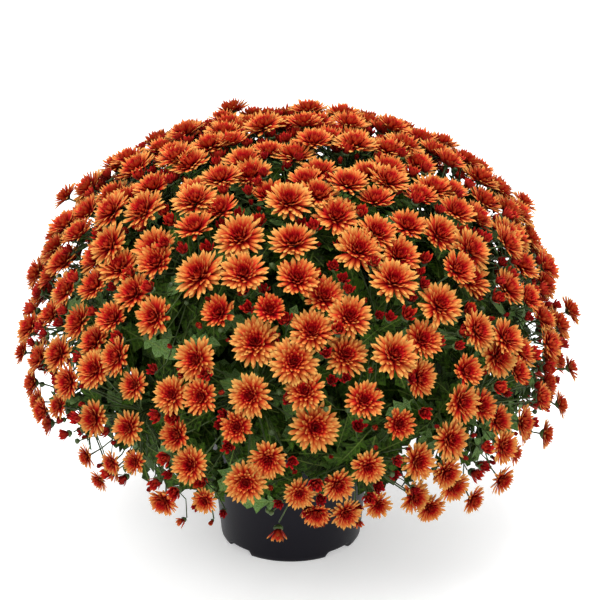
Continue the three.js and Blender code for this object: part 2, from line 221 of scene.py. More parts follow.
def turned(along: Point, face: Point) -> Quaternion:
    """The turn that takes +X to one direction and +Z as near as can be to another.

    Args:
        along: Unit vector that +X goes to.
        face: Direction that +Z leans towards.

    Returns:
        The turn as a quaternion.
    """
    top = square_to(along, face)
    side = np.cross(top, along)
    return Matrix((along, side, top)).transposed().to_quaternion()


def faced(facing: Point) -> Quaternion:
    """The turn that takes +Z to a direction, such as that of a flower."""
    return turned(facing, UP + 0.01) @ Quaternion((0.0, 1.0, 0.0), math.pi / 2)


def linear(red: int, green: int, blue: int) -> Colour:
    """A screen colour, 0 to 255, as the light values that shaders take.

    Args:
        red: The red channel.
        green: The green channel.
        blue: The blue channel.

    Returns:
        The three light values.
    """

    def light(value: int) -> float:
        """The light value of one channel."""
        share = value / 255
        return share / 12.92 if share <= 0.04045 else ((share + 0.055) / 1.055) ** 2.4

    return light(red), light(green), light(blue)


# ---- node graphs


def _operator(operation: str, swapped: bool = False) -> Callable[["Wire", Any], "Wire"]:
    """The method behind one of a wire's operators.

    Args:
        operation: What its Math node does.
        swapped: Whether the other value comes first, as in the operator's reflected form.

    Returns:
        The method.
    """

    def method(self: "Wire", other: Any) -> "Wire":
        """A Math node of the operation on both values."""
        return self.maths(operation, *((other, self) if swapped else (self, other)))

    return method


class Wire:
    """A value that comes out of a node's socket. Arithmetic on it adds Math nodes."""

    def __init__(self, graph: "Graph", socket: bpy.types.NodeSocket) -> None:
        """Wraps a socket of a graph."""
        self.graph = graph
        self.socket = socket

    def maths(self, operation: str, *values: Any) -> "Wire":
        """A Math node of one operation on these values."""
        return self.graph.node("ShaderNodeMath", {"operation": operation}, dict(enumerate(values)))

    __add__, __radd__ = _operator("ADD"), _operator("ADD", swapped=True)
    __sub__, __rsub__ = _operator("SUBTRACT"), _operator("SUBTRACT", swapped=True)
    __mul__, __rmul__ = _operator("MULTIPLY"), _operator("MULTIPLY", swapped=True)
    __truediv__, __rtruediv__ = _operator("DIVIDE"), _operator("DIVIDE", swapped=True)
    __pow__, __rpow__ = _operator("POWER"), _operator("POWER", swapped=True)
    __lt__, __gt__ = _operator("LESS_THAN"), _operator("GREATER_THAN")

    def __neg__(self) -> "Wire":
        """Self with its sign turned."""
        return self * -1.0

    def size(self) -> "Wire":
        """Self without its sign."""
        return self.maths("ABSOLUTE", self)

    def sine(self) -> "Wire":
        """The sine of self."""
        return self.maths("SINE", self)

    def cosine(self) -> "Wire":
        """The cosine of self."""
        return self.maths("COSINE", self)

    def whole(self) -> "Wire":
        """The whole number that self has reached."""
        return self.maths("FLOOR", self)

    def fraction(self) -> "Wire":
        """What self has after its whole number."""
        return self.maths("FRACT", self)

    def held(self) -> "Wire":
        """Self kept from 0 to 1."""
        return self.graph.node("ShaderNodeClamp", {}, {0: self})


class Graph:
    """A node tree that is built by naming nodes, their settings and what goes into their sockets."""

    def __init__(self, tree: bpy.types.NodeTree) -> None:
        """Wraps a node tree."""
        self.tree = tree

    def node(self, kind: str, settings: dict, values: dict, out: int | str = 0) -> Wire:
        """Adds one node.

        Args:
            kind: The node's type.
            settings: Its properties, which are set first.
            values: What each input gets, by name or number: a Wire, a number, a tuple or a data block.
            out: The output that is wanted, by name or number.

        Returns:
            The wanted output.
        """
        made = self.tree.nodes.new(kind)
        for name, value in settings.items():
            setattr(made, name, value)
        for key, value in values.items():
            socket = self._pick(made.inputs, key)
            if isinstance(value, Wire):
                self.tree.links.new(value.socket, socket)
            else:
                socket.default_value = value
        return Wire(self, self._pick(made.outputs, out))

    @staticmethod
    def _pick(sockets: Sequence[bpy.types.NodeSocket], key: int | str) -> bpy.types.NodeSocket:
        """The socket in use with this name, or with this number among those in use.

        Args:
            sockets: A node's inputs or outputs.
            key: The name or the number.

        Returns:
            The socket.
        """
        in_use = [socket for socket in sockets if not socket.is_unavailable]
        if isinstance(key, int):
            return in_use[key]
        return next(socket for socket in in_use if socket.name == key)

    def also(self, wire: Wire, out: str) -> Wire:
        """Another output of the node that a wire comes from."""
        return Wire(self, self._pick(wire.socket.node.outputs, out))


class ShaderGraph(Graph):
    """A material's graph, with the nodes that finishes share."""

    def __init__(self, name: str) -> None:
        """Starts a material of this name with an empty graph.

        Args:
            name: The material's name.
        """
        self.material = bpy.data.materials.new(name)
        self.material.use_nodes = True
        self.material.node_tree.nodes.clear()
        super().__init__(self.material.node_tree)

    def attribute(self, name: str) -> Wire:
        """A number kept on the mesh."""
        settings = {"attribute_name": name, "attribute_type": "GEOMETRY"}
        return self.node("ShaderNodeAttribute", settings, {}, "Fac")

    def noise(
        self, scale: float, detail: float = 3.0, roughness: float = 0.55, stretch: Point3 | None = None
    ) -> Wire:
        """Noise over the piece's own place.

        Args:
            scale: Its cycles a metre.
            detail: How many finer layers it has.
            roughness: How strong the finer layers are.
            stretch: What the place is multiplied by first, axis by axis.

        Returns:
            A value from 0 to 1.
        """
        place = self.node("ShaderNodeTexCoord", {}, {}, "Object")
        if stretch:
            place = self.node("ShaderNodeMapping", {}, {"Vector": place, "Scale": stretch})
        inputs = {"Vector": place, "Scale": scale, "Detail": detail, "Roughness": roughness}
        return self.node("ShaderNodeTexNoise", {}, inputs, "Fac")

    def along(self) -> tuple[Wire, Wire]:
        """The piece's own map: across it from 0 to 1, and along it from 0 to 1.

        Returns:
            The two values.
        """
        place = self.node("ShaderNodeUVMap", {"uv_map": "UVMap"}, {})
        across = self.node("ShaderNodeSeparateXYZ", {}, {0: place}, 0)
        return across, self.also(across, "Y")

    def ramp(self, value: Wire, stops: Sequence[tuple[float, Colour]]) -> Wire:
        """A colour that changes with a value.

        Args:
            value: The value.
            stops: The places from 0 to 1, each with its colour.

        Returns:
            The colour.
        """
        wire = self.node("ShaderNodeValToRGB", {}, {0: value})
        elements = wire.socket.node.color_ramp.elements
        while len(elements) < len(stops):
            elements.new(1.0)
        for element, (place, colour) in zip(elements, stops):
            element.position = place
            element.color = (*colour, 1.0)
        return wire

    def blend(self, share: Wire | float, first: Any, second: Any) -> Wire:
        """Two colours mixed by a share."""
        inputs = {"Factor": share, "A": self._colour(first), "B": self._colour(second)}
        return self.node("ShaderNodeMix", {"data_type": "RGBA"}, inputs)

    @staticmethod
    def _colour(value: Any) -> Any:
        """A colour with its fourth number, or the wire as it is."""
        return value if isinstance(value, Wire) else (*value, 1.0)

    def bump(self, height: Wire, strength: float, distance: float) -> Wire:
        """The normal that a height gives."""
        inputs = {"Height": height, "Strength": strength, "Distance": distance}
        return self.node("ShaderNodeBump", {}, inputs)

    def surface(self, values: dict) -> bpy.types.Material:
        """Ends the graph in one Principled shader.

        Args:
            values: What each of the shader's inputs gets, by name.

        Returns:
            The finished material.
        """
        shader = self.node("ShaderNodeBsdfPrincipled", {}, values)
        end = self.tree.nodes.new("ShaderNodeOutputMaterial")
        self.tree.links.new(shader.socket, end.inputs["Surface"])
        return self.material


class GeometryGraph(Graph):
    """A Geometry Nodes tree with named inputs, which runs on one mesh and leaves a plain one."""

    def __init__(self, name: str, first_seed: int = 0) -> None:
        """Starts an empty tree with its geometry input and output.

        Args:
            name: The tree's name.
            first_seed: The seed of its first random value. Each later value has the next seed.
        """
        super().__init__(bpy.data.node_groups.new(name, "GeometryNodeTree"))
        for way in ("INPUT", "OUTPUT"):
            self.tree.interface.new_socket("Geometry", in_out=way, socket_type="NodeSocketGeometry")
        self.start = self.tree.nodes.new("NodeGroupInput")
        self.named: dict[str, str] = {}
        self.seeds = itertools.count(first_seed)

    def geometry(self) -> Wire:
        """The geometry that comes in."""
        return Wire(self, self.start.outputs[0])

    def input(self, name: str, kind: str) -> Wire:
        """Adds a named input of a kind such as Float, Int, Material or Collection.

        Args:
            name: The input's name.
            kind: What it takes.

        Returns:
            The input's value.
        """
        made = self.tree.interface.new_socket(name, in_out="INPUT", socket_type=f"NodeSocket{kind}")
        self.named[name] = made.identifier
        return Wire(self, self.start.outputs[name])

    def attribute(self, name: str, kind: str = "FLOAT") -> Wire:
        """A value kept on the points."""
        return self.node("GeometryNodeInputNamedAttribute", {"data_type": kind}, {"Name": name})

    def stored(self, geometry: Wire, name: str, value: Wire) -> Wire:
        """Keeps a number on the points under a name."""
        inputs = {"Geometry": geometry, "Name": name, "Value": value}
        return self.node("GeometryNodeStoreNamedAttribute", {"data_type": "FLOAT", "domain": "POINT"}, inputs)

    def random(self, low: float, high: float, seed: Wire | None = None) -> Wire:
        """A number for each point, from low to high, with the tree's next seed or a given one."""
        inputs = {"Min": low, "Max": high, "Seed": next(self.seeds) if seed is None else seed}
        return self.node("FunctionNodeRandomValue", {}, inputs)

    def shake(self, spread: float) -> Wire:
        """A number for each point, from -spread to spread."""
        return self.random(-spread, spread)

    def vector(self, x: Any, y: Any, z: Any) -> Wire:
        """Three numbers as a vector."""
        return self.node("ShaderNodeCombineXYZ", {}, {0: x, 1: y, 2: z})

    def rotation(self, x: Any, y: Any, z: Any) -> Wire:
        """Three angles as a rotation."""
        return self.node("FunctionNodeEulerToRotation", {}, {0: self.vector(x, y, z)})

    def scatter(self, points: Wire, shapes: Wire, values: dict) -> Wire:
        """Sets one object of a collection on each point.

        Args:
            points: The points.
            shapes: The collection.
            values: What the node's other inputs get, by name, such as Rotation and Scale.

        Returns:
            The instances.
        """
        picked = {"Collection": shapes, "Separate Children": True, "Reset Children": True}
        instance = self.node("GeometryNodeCollectionInfo", {}, picked)
        inputs = {"Points": points, "Instance": instance, "Pick Instance": True, **values}
        return self.node("GeometryNodeInstanceOnPoints", {}, inputs)

    def together(self, first: Wire, second: Wire) -> Wire:
        """Two geometries as one.

        Args:
            first: The one whose parts come first.
            second: The other.

        Returns:
            The joined geometry.
        """
        both = self.node("GeometryNodeJoinGeometry", {}, {0: first})
        self.tree.links.new(second.socket, both.socket.node.inputs[0])
        return both

    def end(self, geometry: Wire, material: Wire) -> None:
        """Ends the tree: instances made real, and their material set.

        Args:
            geometry: What the tree has made.
            material: Its material.
        """
        real = self.node("GeometryNodeRealizeInstances", {}, {0: geometry})
        dressed = self.node("GeometryNodeSetMaterial", {}, {"Geometry": real, "Material": material})
        self.tree.links.new(dressed.socket, self.tree.nodes.new("NodeGroupOutput").inputs[0])

    def run(self, mesh: bpy.types.Mesh, values: dict[str, Any]) -> bpy.types.Mesh:
        """Runs the tree on a mesh.

        Args:
            mesh: What goes in.
            values: The named inputs.

        Returns:
            A plain mesh with what came out.
        """
        carrier = bpy.data.objects.new("carrier", mesh)
        bpy.context.scene.collection.objects.link(carrier)
        modifier = carrier.modifiers.new("tree", "NODES")
        modifier.node_group = self.tree
        for name, value in values.items():
            modifier[self.named[name]] = value
        depsgraph = bpy.context.evaluated_depsgraph_get()
        made = bpy.data.meshes.new_from_object(
            carrier.evaluated_get(depsgraph), preserve_all_data_layers=True, depsgraph=depsgraph
        )
        carrier.modifiers.clear()
        bpy.data.objects.remove(carrier)
        return made


# ---- mesh tools


def mesh_of(
    name: str,
    points: Sequence[Sequence[float]],
    faces: Sequence[Sequence[int]],
    edges: Sequence[tuple[int, int]] = (),
) -> bpy.types.Mesh:
    """A smooth mesh from points, faces and loose edges.

    Args:
        name: The mesh's name.
        points: Its points.
        faces: Its faces, by their points.
        edges: Its loose edges.

    Returns:
        The mesh.
    """
    mesh = bpy.data.meshes.new(name)
    mesh.from_pydata([tuple(point) for point in points], list(edges), [list(face) for face in faces])
    mesh.update()
    if len(faces):
        mesh.shade_smooth()
    return mesh


def keep(
    mesh: bpy.types.Mesh, name: str, values: Iterable, kind: str = "FLOAT", domain: str = "POINT"
) -> None:
    """Keeps one value for each point or face under a name that the nodes read.

    Args:
        mesh: The mesh.
        name: The name.
        values: The values, in the order of the points or faces.
        kind: The type of a value.
        domain: What carries the values: POINT or FACE.
    """
    layer = mesh.attributes.new(name, kind, domain)
    field_name = "vector" if kind == "FLOAT_VECTOR" else "value"
    number = np.int32 if kind == "INT" else np.float32
    layer.data.foreach_set(field_name, np.asarray(list(values), dtype=number).ravel())


def blade_mesh(
    name: str,
    points: Sequence[Point3],
    places: Sequence[Ends],
    faces: Sequence[tuple[int, ...]],
    under: Sequence[float],
    rim: set[tuple[int, int]],
) -> bpy.types.Mesh:
    """A closed thin blade whose two faces shade apart.

    Args:
        name: The mesh's name.
        points: Its points.
        places: The place of each point on the blade's own map.
        faces: Its faces.
        under: 1 for each face of the underside, 0 for the others.
        rim: The edges where the two sides meet, as sorted pairs of points.

    Returns:
        The mesh with its map, its rim marked sharp and its underside kept as a number.
    """
    mesh = mesh_of(name, points, faces)
    for edge in mesh.edges:
        edge.use_edge_sharp = tuple(sorted(edge.vertices)) in rim
    layer = mesh.uv_layers.new(name="UVMap")
    for loop in mesh.loops:
        layer.data[loop.index].uv = places[loop.vertex_index]
    keep(mesh, "under", under, domain="FACE")
    return mesh


def lathe_faces(
    first: int, rings: int, sides: int, poles: tuple[int, int], downwards: bool = False
) -> list[tuple[int, ...]]:
    """The faces of a closed turned shape: bands between its rings, and a fan round each pole.

    Args:
        first: The number of the first ring's first point.
        rings: How many rings there are.
        sides: How many points each ring has.
        poles: The points that close the first ring and the last.
        downwards: Whether the rings go from the top of the shape to its base.

    Returns:
        The faces, which point outwards.
    """
    faces: list[tuple[int, ...]] = []
    last = first + (rings - 1) * sides
    for side in range(sides):
        after = (side + 1) % sides
        faces.append((poles[0], first + after, first + side))
        for low in range(first, last, sides):
            high = low + sides
            faces.append((low + side, low + after, high + after, high + side))
        faces.append((poles[1], last + side, last + after))
    return [(face[0], *face[:0:-1]) for face in faces] if downwards else faces


def collection_of(name: str, meshes: Sequence[bpy.types.Mesh]) -> bpy.types.Collection:
    """A collection for a tree to pick from, with one object for each mesh, in their order.

    Args:
        name: The collection's name.
        meshes: The meshes.

    Returns:
        The collection.
    """
    group = bpy.data.collections.new(name)
    bpy.context.scene.collection.children.link(group)
    for number, mesh in enumerate(meshes):
        group.objects.link(bpy.data.objects.new(f"{name}_{number}", mesh))
    return group


def clear_collection(group: bpy.types.Collection) -> None:
    """Removes a collection and what is in it.

    Args:
        group: The collection.
    """
    for item in list(group.objects):
        bpy.data.objects.remove(item)
    bpy.data.collections.remove(group)


def finished_piece(name: str, mesh: bpy.types.Mesh, slot: Slot, nodes: Sequence[str]) -> bpy.types.Object:
    """Puts a mesh in the scene as a piece that rides on the plant and stands for some solids.

    Args:
        name: The piece's name.
        mesh: Its mesh, in place.
        slot: Not used.
        nodes: The solids that it stands for.

    Returns:
        The piece.
    """
    mesh.name = name
    piece = bpy.data.objects.new(name, mesh)
    bpy.context.scene.collection.objects.link(piece)
    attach(piece, "root")
    if nodes:
        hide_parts(*nodes)
    LOG.info("%s: %d triangles", name, sum(len(face.vertices) - 2 for face in mesh.polygons))
    return piece


def joined(meshes: Sequence[bpy.types.Mesh]) -> bpy.types.Mesh:
    """Several meshes as one, with their materials and what is kept on them.

    Args:
        meshes: The meshes, of which the first one takes in the others.

    Returns:
        The joined mesh.
    """
    items = []
    for mesh in meshes:
        item = bpy.data.objects.new("part", mesh)
        bpy.context.scene.collection.objects.link(item)
        items.append(item)
    with bpy.context.temp_override(
        active_object=items[0], object=items[0], selected_editable_objects=items, selected_objects=items
    ):
        bpy.ops.object.join()
    mesh = items[0].data
    bpy.data.objects.remove(items[0])
    return mesh


# ---- the layout


@dataclass(frozen=True)
class Canopy:
    """The dome that the middles of the blooms lie on."""

    shift: float = 0.005
    centre_height: float = 0.222
    reach: float = 0.290
    rise: float = 0.252
    fall: float = 0.145
    shoulder: float = 0.88
    skirt: float = math.radians(122)
    polar_step: float = math.radians(0.05)
    normal_step: float = 0.001

    def point(self, polar: float, azimuth: float, share: float = 1.0) -> Point:
        """A point of the dome, or one at a share of the way out to it.

        Args:
            polar: Angle from the top.
            azimuth: Angle round it, from +X.
            share: How far out, where 1 is the dome itself.

        Returns:
            The point.
        """
        up = math.cos(polar)
        power = self.shoulder if up > 0 else 1.0
        out = self.reach * math.sin(polar) ** power
        lift = self.rise * up**power if up > 0 else self.fall * up
        return np.array(
            [
                self.shift + out * math.cos(azimuth) * share,
                out * math.sin(azimuth) * share,
                self.centre_height + lift * share,
            ]
        )

    def normal(self, polar: float, azimuth: float) -> Point:
        """The outward direction of the dome."""
        down = self.point(polar + self.normal_step, azimuth) - self.point(polar, azimuth)
        return unit(np.cross(down, [-math.sin(azimuth), math.cos(azimuth), 0.0]))

    def room(self, ends: Ends, polar: float) -> float:
        """What a room that changes from the top to the skirt comes to at a polar angle."""
        return mix(*ends, polar / self.skirt)

    def sites(self, ends: Ends) -> list[float]:
        """Polar angles, from the top down, that give each site its room.

        Args:
            ends: The area for one site at the top and at the skirt.

        Returns:
            The polar angles.
        """
        polars: list[float] = []
        count, polar = 0.0, self.polar_step
        while polar < self.skirt:
            here = self.point(polar, 0.0)
            step = float(np.linalg.norm(here - self.point(polar - self.polar_step, 0.0)))
            count += 2 * math.pi * (here[0] - self.shift) * step / self.room(ends, polar)
            if count >= len(polars) + 0.5:
                polars.append(polar)
            polar += self.polar_step
        return polars


@dataclass
class Bloom:
    """One flower, from a bud to an open bloom."""

    centre: Point
    outward: Point
    facing: Point
    radius: float
    age: float
    turn: float
    stage: Stage = Stage.OPEN

    def neck(self) -> Point:
        """Where the stalk ends under the flower."""
        drop = 0.3 if self.stage is Stage.OPEN else 0.75  # in radii
        return self.centre - self.facing * self.radius * drop


@dataclass
class Spray:
    """The blooms that share one stem."""

    number: int
    foot: Point
    crown: Point
    blooms: list[Bloom] = field(default_factory=list)
    buds: list[Bloom] = field(default_factory=list)
    leaf_tips: list[tuple[Point, Point]] = field(default_factory=list)
    fork: Point = field(default_factory=lambda: np.zeros(3))
    axis: Point = field(default_factory=lambda: np.zeros(3))
    bend: Point = field(default_factory=lambda: np.zeros(3))
    seat: Point = field(default_factory=lambda: np.zeros(3))

    def stem_point(self, share: float) -> Point:
        """A point of the stem, from the soil at 0 to the fork at 1."""
        back = 1 - share
        return back * back * self.foot + 2 * back * share * self.bend + share * share * self.seat

    def stem_direction(self, share: float) -> Point:
        """The direction in which the stem grows there."""
        back = 1 - share
        return unit(back * (self.bend - self.foot) + share * (self.seat - self.bend))


@dataclass(frozen=True)
class BudKind:
    """A kind of flower that hasn't opened: how often it is picked, its size and where it sits."""

    stage: Stage
    pick_below: float
    radii: Ends
    sunk: float
    overlap: float


@dataclass(frozen=True)
class LeafLayer:
    """A layer of leaf tips: the room for each, and how far out to the canopy they lie."""

    room: Ends
    depth: Ends


@dataclass(frozen=True)
class Layout:
    """The rule that places every bloom and spray.

    Rooms are areas of canopy, at the top and at the skirt. Clearances are distances, and the shakes of angles
    are in radians.
    """

    canopy: Canopy = Canopy()
    seed: int = 20611
    sprays: int = 26
    bloom_room: Ends = (1280e-6, 1980e-6)
    sample_room: float = 1000e-6
    place_shake: float = 0.3
    least_out: float = 0.1
    depth_shake: float = 0.009
    tilt_shake: float = 0.2
    lean: float = 0.82
    radii: Ends = (0.0135, 0.0195)
    known_age: float = 1.0
    known_clearance: float = 0.029
    bare_clearance: float = 0.034
    soil_top: float = 0.128
    hole_spread: float = 0.074
    bend_height: float = 0.078
    bend_climb: float = 0.3
    fork_below: float = 0.050
    fork_depth: float = 0.006
    gap: float = 0.00035
    # Open blooms known one by one: degrees right of the front, polar degrees, radius in millimetres.
    front_blooms: tuple[tuple[float, float, float], ...] = (
        (4, 83, 23), (-9, 95, 21.5), (0, 69, 21), (20, 69, 21), (-8, 65, 21), (-23, 51, 21),
        (-15, 41, 20), (32, 89, 20), (25, 94, 20), (17, 44, 19.5), (23, 53, 19.5), (11, 115, 18),
        (-24, 78, 18), (1, 102, 17), (14, 91, 17), (18, 114, 16), (-18, 107, 15),
    )
    # Blooms that give the outline its bumps: the same, and how many millimetres they stand out of the dome.
    outer_blooms: tuple[tuple[float, float, float, float], ...] = (
        (-148, 24, 17.5, 13), (-135, 20, 15, 6), (-93, 52, 15.5, 17), (-78, 86, 15, 9), (86, 80, 18, 14),
        (98, 55, 15, 12), (81, 90, 16, 12), (72, 98, 17.5, 10), (66, 106, 19, 12), (57, 111, 16, 2),
        (51, 115, 18, 16), (44, 120, 17.5, 18), (32, 120, 18, 10), (-52, 120, 14, 10), (-44, 88, 19, -3),
        (-34, 87, 17.5, 0), (-56, 89, 15, 0), (-40, 102, 14.5, 0), (-50, 107, 15, 0), (-33, 97, 14.5, 0),
        (-33, 78, 15.5, 0), (-20, 70, 19.5, -2),
    )
    # Directions in which the skirt is bare: degrees right of the front, and polar degrees.
    bare: tuple[Ends, ...] = ((-82, 103), (-64, 114), (-36, 121), (-5, 117))
    # Flowers that haven't opened: the same three numbers as the open blooms, and the stage.
    front_buds: tuple[tuple[float, float, float, Stage], ...] = (
        (-1, 77, 8, Stage.HALF_OPEN), (2, 76, 5, Stage.RED_BUD), (6, 79, 3, Stage.GREEN_BUD),
        (16, 76, 5, Stage.RED_BUD), (10, 73, 7, Stage.HALF_OPEN), (12, 83, 9, Stage.HALF_OPEN),
        (6, 95, 5, Stage.RED_BUD), (0, 91, 5, Stage.RED_BUD), (5, 105, 8, Stage.HALF_OPEN),
        (16, 101, 9, Stage.HALF_OPEN), (3, 112, 9, Stage.HALF_OPEN), (6, 120, 9, Stage.HALF_OPEN),
        (19, 96, 3, Stage.GREEN_BUD), (12, 77, 3, Stage.GREEN_BUD), (-3, 107, 7, Stage.HALF_OPEN),
        (-16, 119, 6, Stage.HALF_OPEN), (-5, 116, 3, Stage.GREEN_BUD), (-32, 111, 4, Stage.RED_BUD),
        (-28, 105, 4, Stage.RED_BUD),
    )
    # Flowers on long stalks that hang below the canopy: the place in metres, the way each one faces as polar
    # and azimuth degrees, its radius in millimetres and its stage.
    hanging: tuple[tuple[Point3, float, float, float, Stage], ...] = (
        ((-0.012, -0.185, 0.098), 138, -95, 11.0, Stage.HALF_OPEN),
        ((0.027, -0.205, 0.122), 150, -80, 9.0, Stage.HALF_OPEN),
        ((0.017, -0.216, 0.140), 140, -75, 9.0, Stage.HALF_OPEN),
        ((0.070, -0.190, 0.111), 120, -70, 6.0, Stage.HALF_OPEN),
        ((-0.022, -0.200, 0.129), 100, -110, 3.2, Stage.GREEN_BUD),
        ((-0.081, -0.170, 0.101), 110, -120, 4.2, Stage.RED_BUD),
        ((-0.113, -0.150, 0.091), 105, -140, 7.0, Stage.HALF_OPEN),
        ((-0.213, -0.060, 0.093), 105, 195, 6.5, Stage.HALF_OPEN),
    )
    hanging_age: float = 0.6
    bud_seed: int = 90127
    bud_room: Ends = (130e-6, 760e-6)
    bud_lift: Ends = (-0.010, 0.003)
    bud_polar_shake: float = 0.04
    bud_azimuth_shake: float = 0.1
    bud_age: float = -0.9
    bud_age_gain: float = 0.55
    bud_kinds: tuple[BudKind, ...] = (
        BudKind(Stage.HALF_OPEN, pick_below=0.62, radii=(0.0064, 0.0104), sunk=0.0, overlap=0.45),
        BudKind(Stage.RED_BUD, pick_below=0.9, radii=(0.0040, 0.0058), sunk=0.006, overlap=0.85),
        BudKind(Stage.GREEN_BUD, pick_below=1.0, radii=(0.0026, 0.0038), sunk=0.006, overlap=0.85),
    )
    leaf_seed: int = 5077
    leaf_layers: tuple[LeafLayer, ...] = (
        LeafLayer(room=(240e-6, 190e-6), depth=(0.76, 0.97)),
        LeafLayer(room=(1200e-6, 400e-6), depth=(0.62, 0.78)),
    )
    tip_polar_shake: float = 0.06
    tip_azimuth_shake: float = 0.1
    blade_lean: float = 0.72
    blade_polar_shake: float = 0.45
    blade_azimuth_shake: float = 0.5

    def _bloom(
        self,
        angles: Ends,
        lift: float,
        radius: float,
        age: float,
        draws: Draws,
        stage: Stage = Stage.OPEN,
    ) -> Bloom:
        """A bloom at a place of the canopy that leans up from square to it.

        Args:
            angles: Its polar and azimuth angles.
            lift: How far it stands out of the canopy.
            radius: Its radius.
            age: How far it has opened, 1 at most and below 0 for a bud.
            draws: The stream that shakes its tilt and turns it.
            stage: Its stage.

        Returns:
            The bloom.
        """
        polar, azimuth = angles
        outward = self.canopy.normal(polar, azimuth)
        centre = self.canopy.point(polar, azimuth) + outward * lift
        face_azimuth = azimuth + draws.centred(self.tilt_shake)
        facing = direction(polar * self.lean + draws.centred(self.tilt_shake), face_azimuth)
        return Bloom(centre, outward, facing, radius, age, draws.next(), stage)

    @staticmethod
    def _angles(right: float, polar: float) -> Ends:
        """The polar and azimuth angles of a direction in degrees right of the front and from the top."""
        return math.radians(polar), math.radians(right - 90)

    def _bare_places(self) -> list[Point]:
        """The points of the canopy round which the skirt is bare."""
        return [self.canopy.point(*self._angles(*place)) for place in self.bare]

    def _open_blooms(self) -> list[Bloom]:
        """Every open bloom: the known ones, and those that the rule draws clear of them.

        Returns:
            The blooms: those of the front, the ruled ones and those of the outline.
        """
        draws = Draws(self.seed)
        front = []
        for right, polar, radius in self.front_blooms:
            angles, lift = self._angles(right, polar), draws.centred(self.depth_shake)
            front.append(self._bloom(angles, lift, radius * MILLIMETRE, self.known_age, draws))
        ruled = []
        for number, site in enumerate(self.canopy.sites(self.bloom_room)):
            room = self.canopy.room(self.bloom_room, site)
            shake = math.sqrt(room) * self.place_shake / self.canopy.reach
            polar = abs(site + draws.centred(shake))
            azimuth = number * GOLDEN_ANGLE + draws.centred(shake) / max(math.sin(site), self.least_out)
            age = math.sqrt(draws.next())
            lift = draws.centred(self.depth_shake)
            ruled.append(self._bloom((polar, azimuth), lift, mix(*self.radii, age), age, draws))
        outer = []
        for right, polar, radius, lift in self.outer_blooms:
            angles, size = self._angles(right, polar), radius * MILLIMETRE
            outer.append(self._bloom(angles, lift * MILLIMETRE, size, self.known_age, draws))
        kept = [(bloom.centre, self.known_clearance) for bloom in [*front, *outer]]
        kept += [(place, self.bare_clearance) for place in self._bare_places()]
        free = [
            bloom
            for bloom in ruled
            if all(np.linalg.norm(place - bloom.centre) >= room for place, room in kept)
        ]
        return [*front, *free, *outer]

    def _closed_blooms(self, open_blooms: Sequence[Bloom]) -> list[Bloom]:
        """Half-open blooms and buds in the gaps between the open ones.

        Args:
            open_blooms: The blooms that they stay clear of.

        Returns:
            The flowers that haven't opened.
        """
        draws = Draws(self.bud_seed)
        buds = [
            self._bloom(self._angles(right, polar), 0.0, radius * MILLIMETRE, self.bud_age, draws, stage)
            for right, polar, radius, stage in self.front_buds
        ]
        for place, polar, azimuth, radius, stage in self.hanging:
            facing = direction(math.radians(polar), math.radians(azimuth))
            outward = unit(np.array([place[0], place[1], 0.0]))
            size, turn = radius * MILLIMETRE, draws.next()
            buds.append(Bloom(np.array(place), outward, facing, size, self.hanging_age, turn, stage))
        bare = self._bare_places()
        for number, site in enumerate(self.canopy.sites(self.bud_room)):
            azimuth = (number + 0.5) * GOLDEN_ANGLE + draws.centred(self.bud_azimuth_shake)
            pick, size, lift = draws.next(), draws.next(), draws.between(*self.bud_lift)
            kind = next(kind for kind in self.bud_kinds if pick < kind.pick_below)
            radius, age = mix(*kind.radii, size), self.bud_age + self.bud_age_gain * size
            angles = (site + draws.centred(self.bud_polar_shake), azimuth)
            bud = self._bloom(angles, lift - kind.sunk, radius, age, draws, kind.stage)
            room = [
                np.linalg.norm(other.centre - bud.centre) - kind.overlap * other.radius - bud.radius
                for other in [*open_blooms, *buds]
            ]
            room += [np.linalg.norm(place - bud.centre) - self.bare_clearance for place in bare]
            if min(room) > 0:
                buds.append(bud)
        return buds

    def _leaf_tips(self) -> Iterable[tuple[Point, Point]]:
        """Where leaf tips fill the canopy between the blooms, and the way that each blade faces.

        Returns:
            Each tip with the direction that its blade faces.
        """
        draws = Draws(self.leaf_seed)
        for layer in self.leaf_layers:
            for number, site in enumerate(self.canopy.sites(layer.room)):
                polar = site + draws.centred(self.tip_polar_shake)
                azimuth = number * GOLDEN_ANGLE + draws.centred(self.tip_azimuth_shake)
                tip = self.canopy.point(polar, azimuth, draws.between(*layer.depth))
                face_polar = polar * self.blade_lean + draws.centred(self.blade_polar_shake)
                yield tip, direction(face_polar, azimuth + draws.centred(self.blade_azimuth_shake))

    def _empty_sprays(self) -> list[Spray]:
        """The sprays with their feet in the soil and their crowns on the canopy.

        Returns:
            The sprays.
        """
        area = len(self.canopy.sites((self.sample_room, self.sample_room))) * self.sample_room
        share = area / self.sprays
        sprays = []
        for number, polar in enumerate(self.canopy.sites((share, share))):
            azimuth = number * GOLDEN_ANGLE
            spread = self.hole_spread * math.sqrt((number + 0.5) / self.sprays)
            foot = np.array(place_at(spread, azimuth, self.soil_top))
            sprays.append(Spray(number, foot, self.canopy.point(polar, azimuth)))
        return sprays

    def _set_fork(self, spray: Spray) -> None:
        """Puts the fork of a spray under the middle of its blooms, and bends its stem up to it.

        Args:
            spray: The spray, which has its blooms.
        """
        spray.axis = unit(sum(bloom.outward for bloom in spray.blooms))
        middle = sum(bloom.centre for bloom in spray.blooms) / len(spray.blooms)
        spray.fork = middle - spray.axis * self.fork_below
        spray.seat = spray.fork - spray.axis * (self.fork_depth + self.gap)
        over = spray.fork[2] - self.soil_top - self.bend_height
        height = self.soil_top + self.bend_height + self.bend_climb * max(0.0, over)
        spray.bend = np.array([spray.foot[0], spray.foot[1], height])

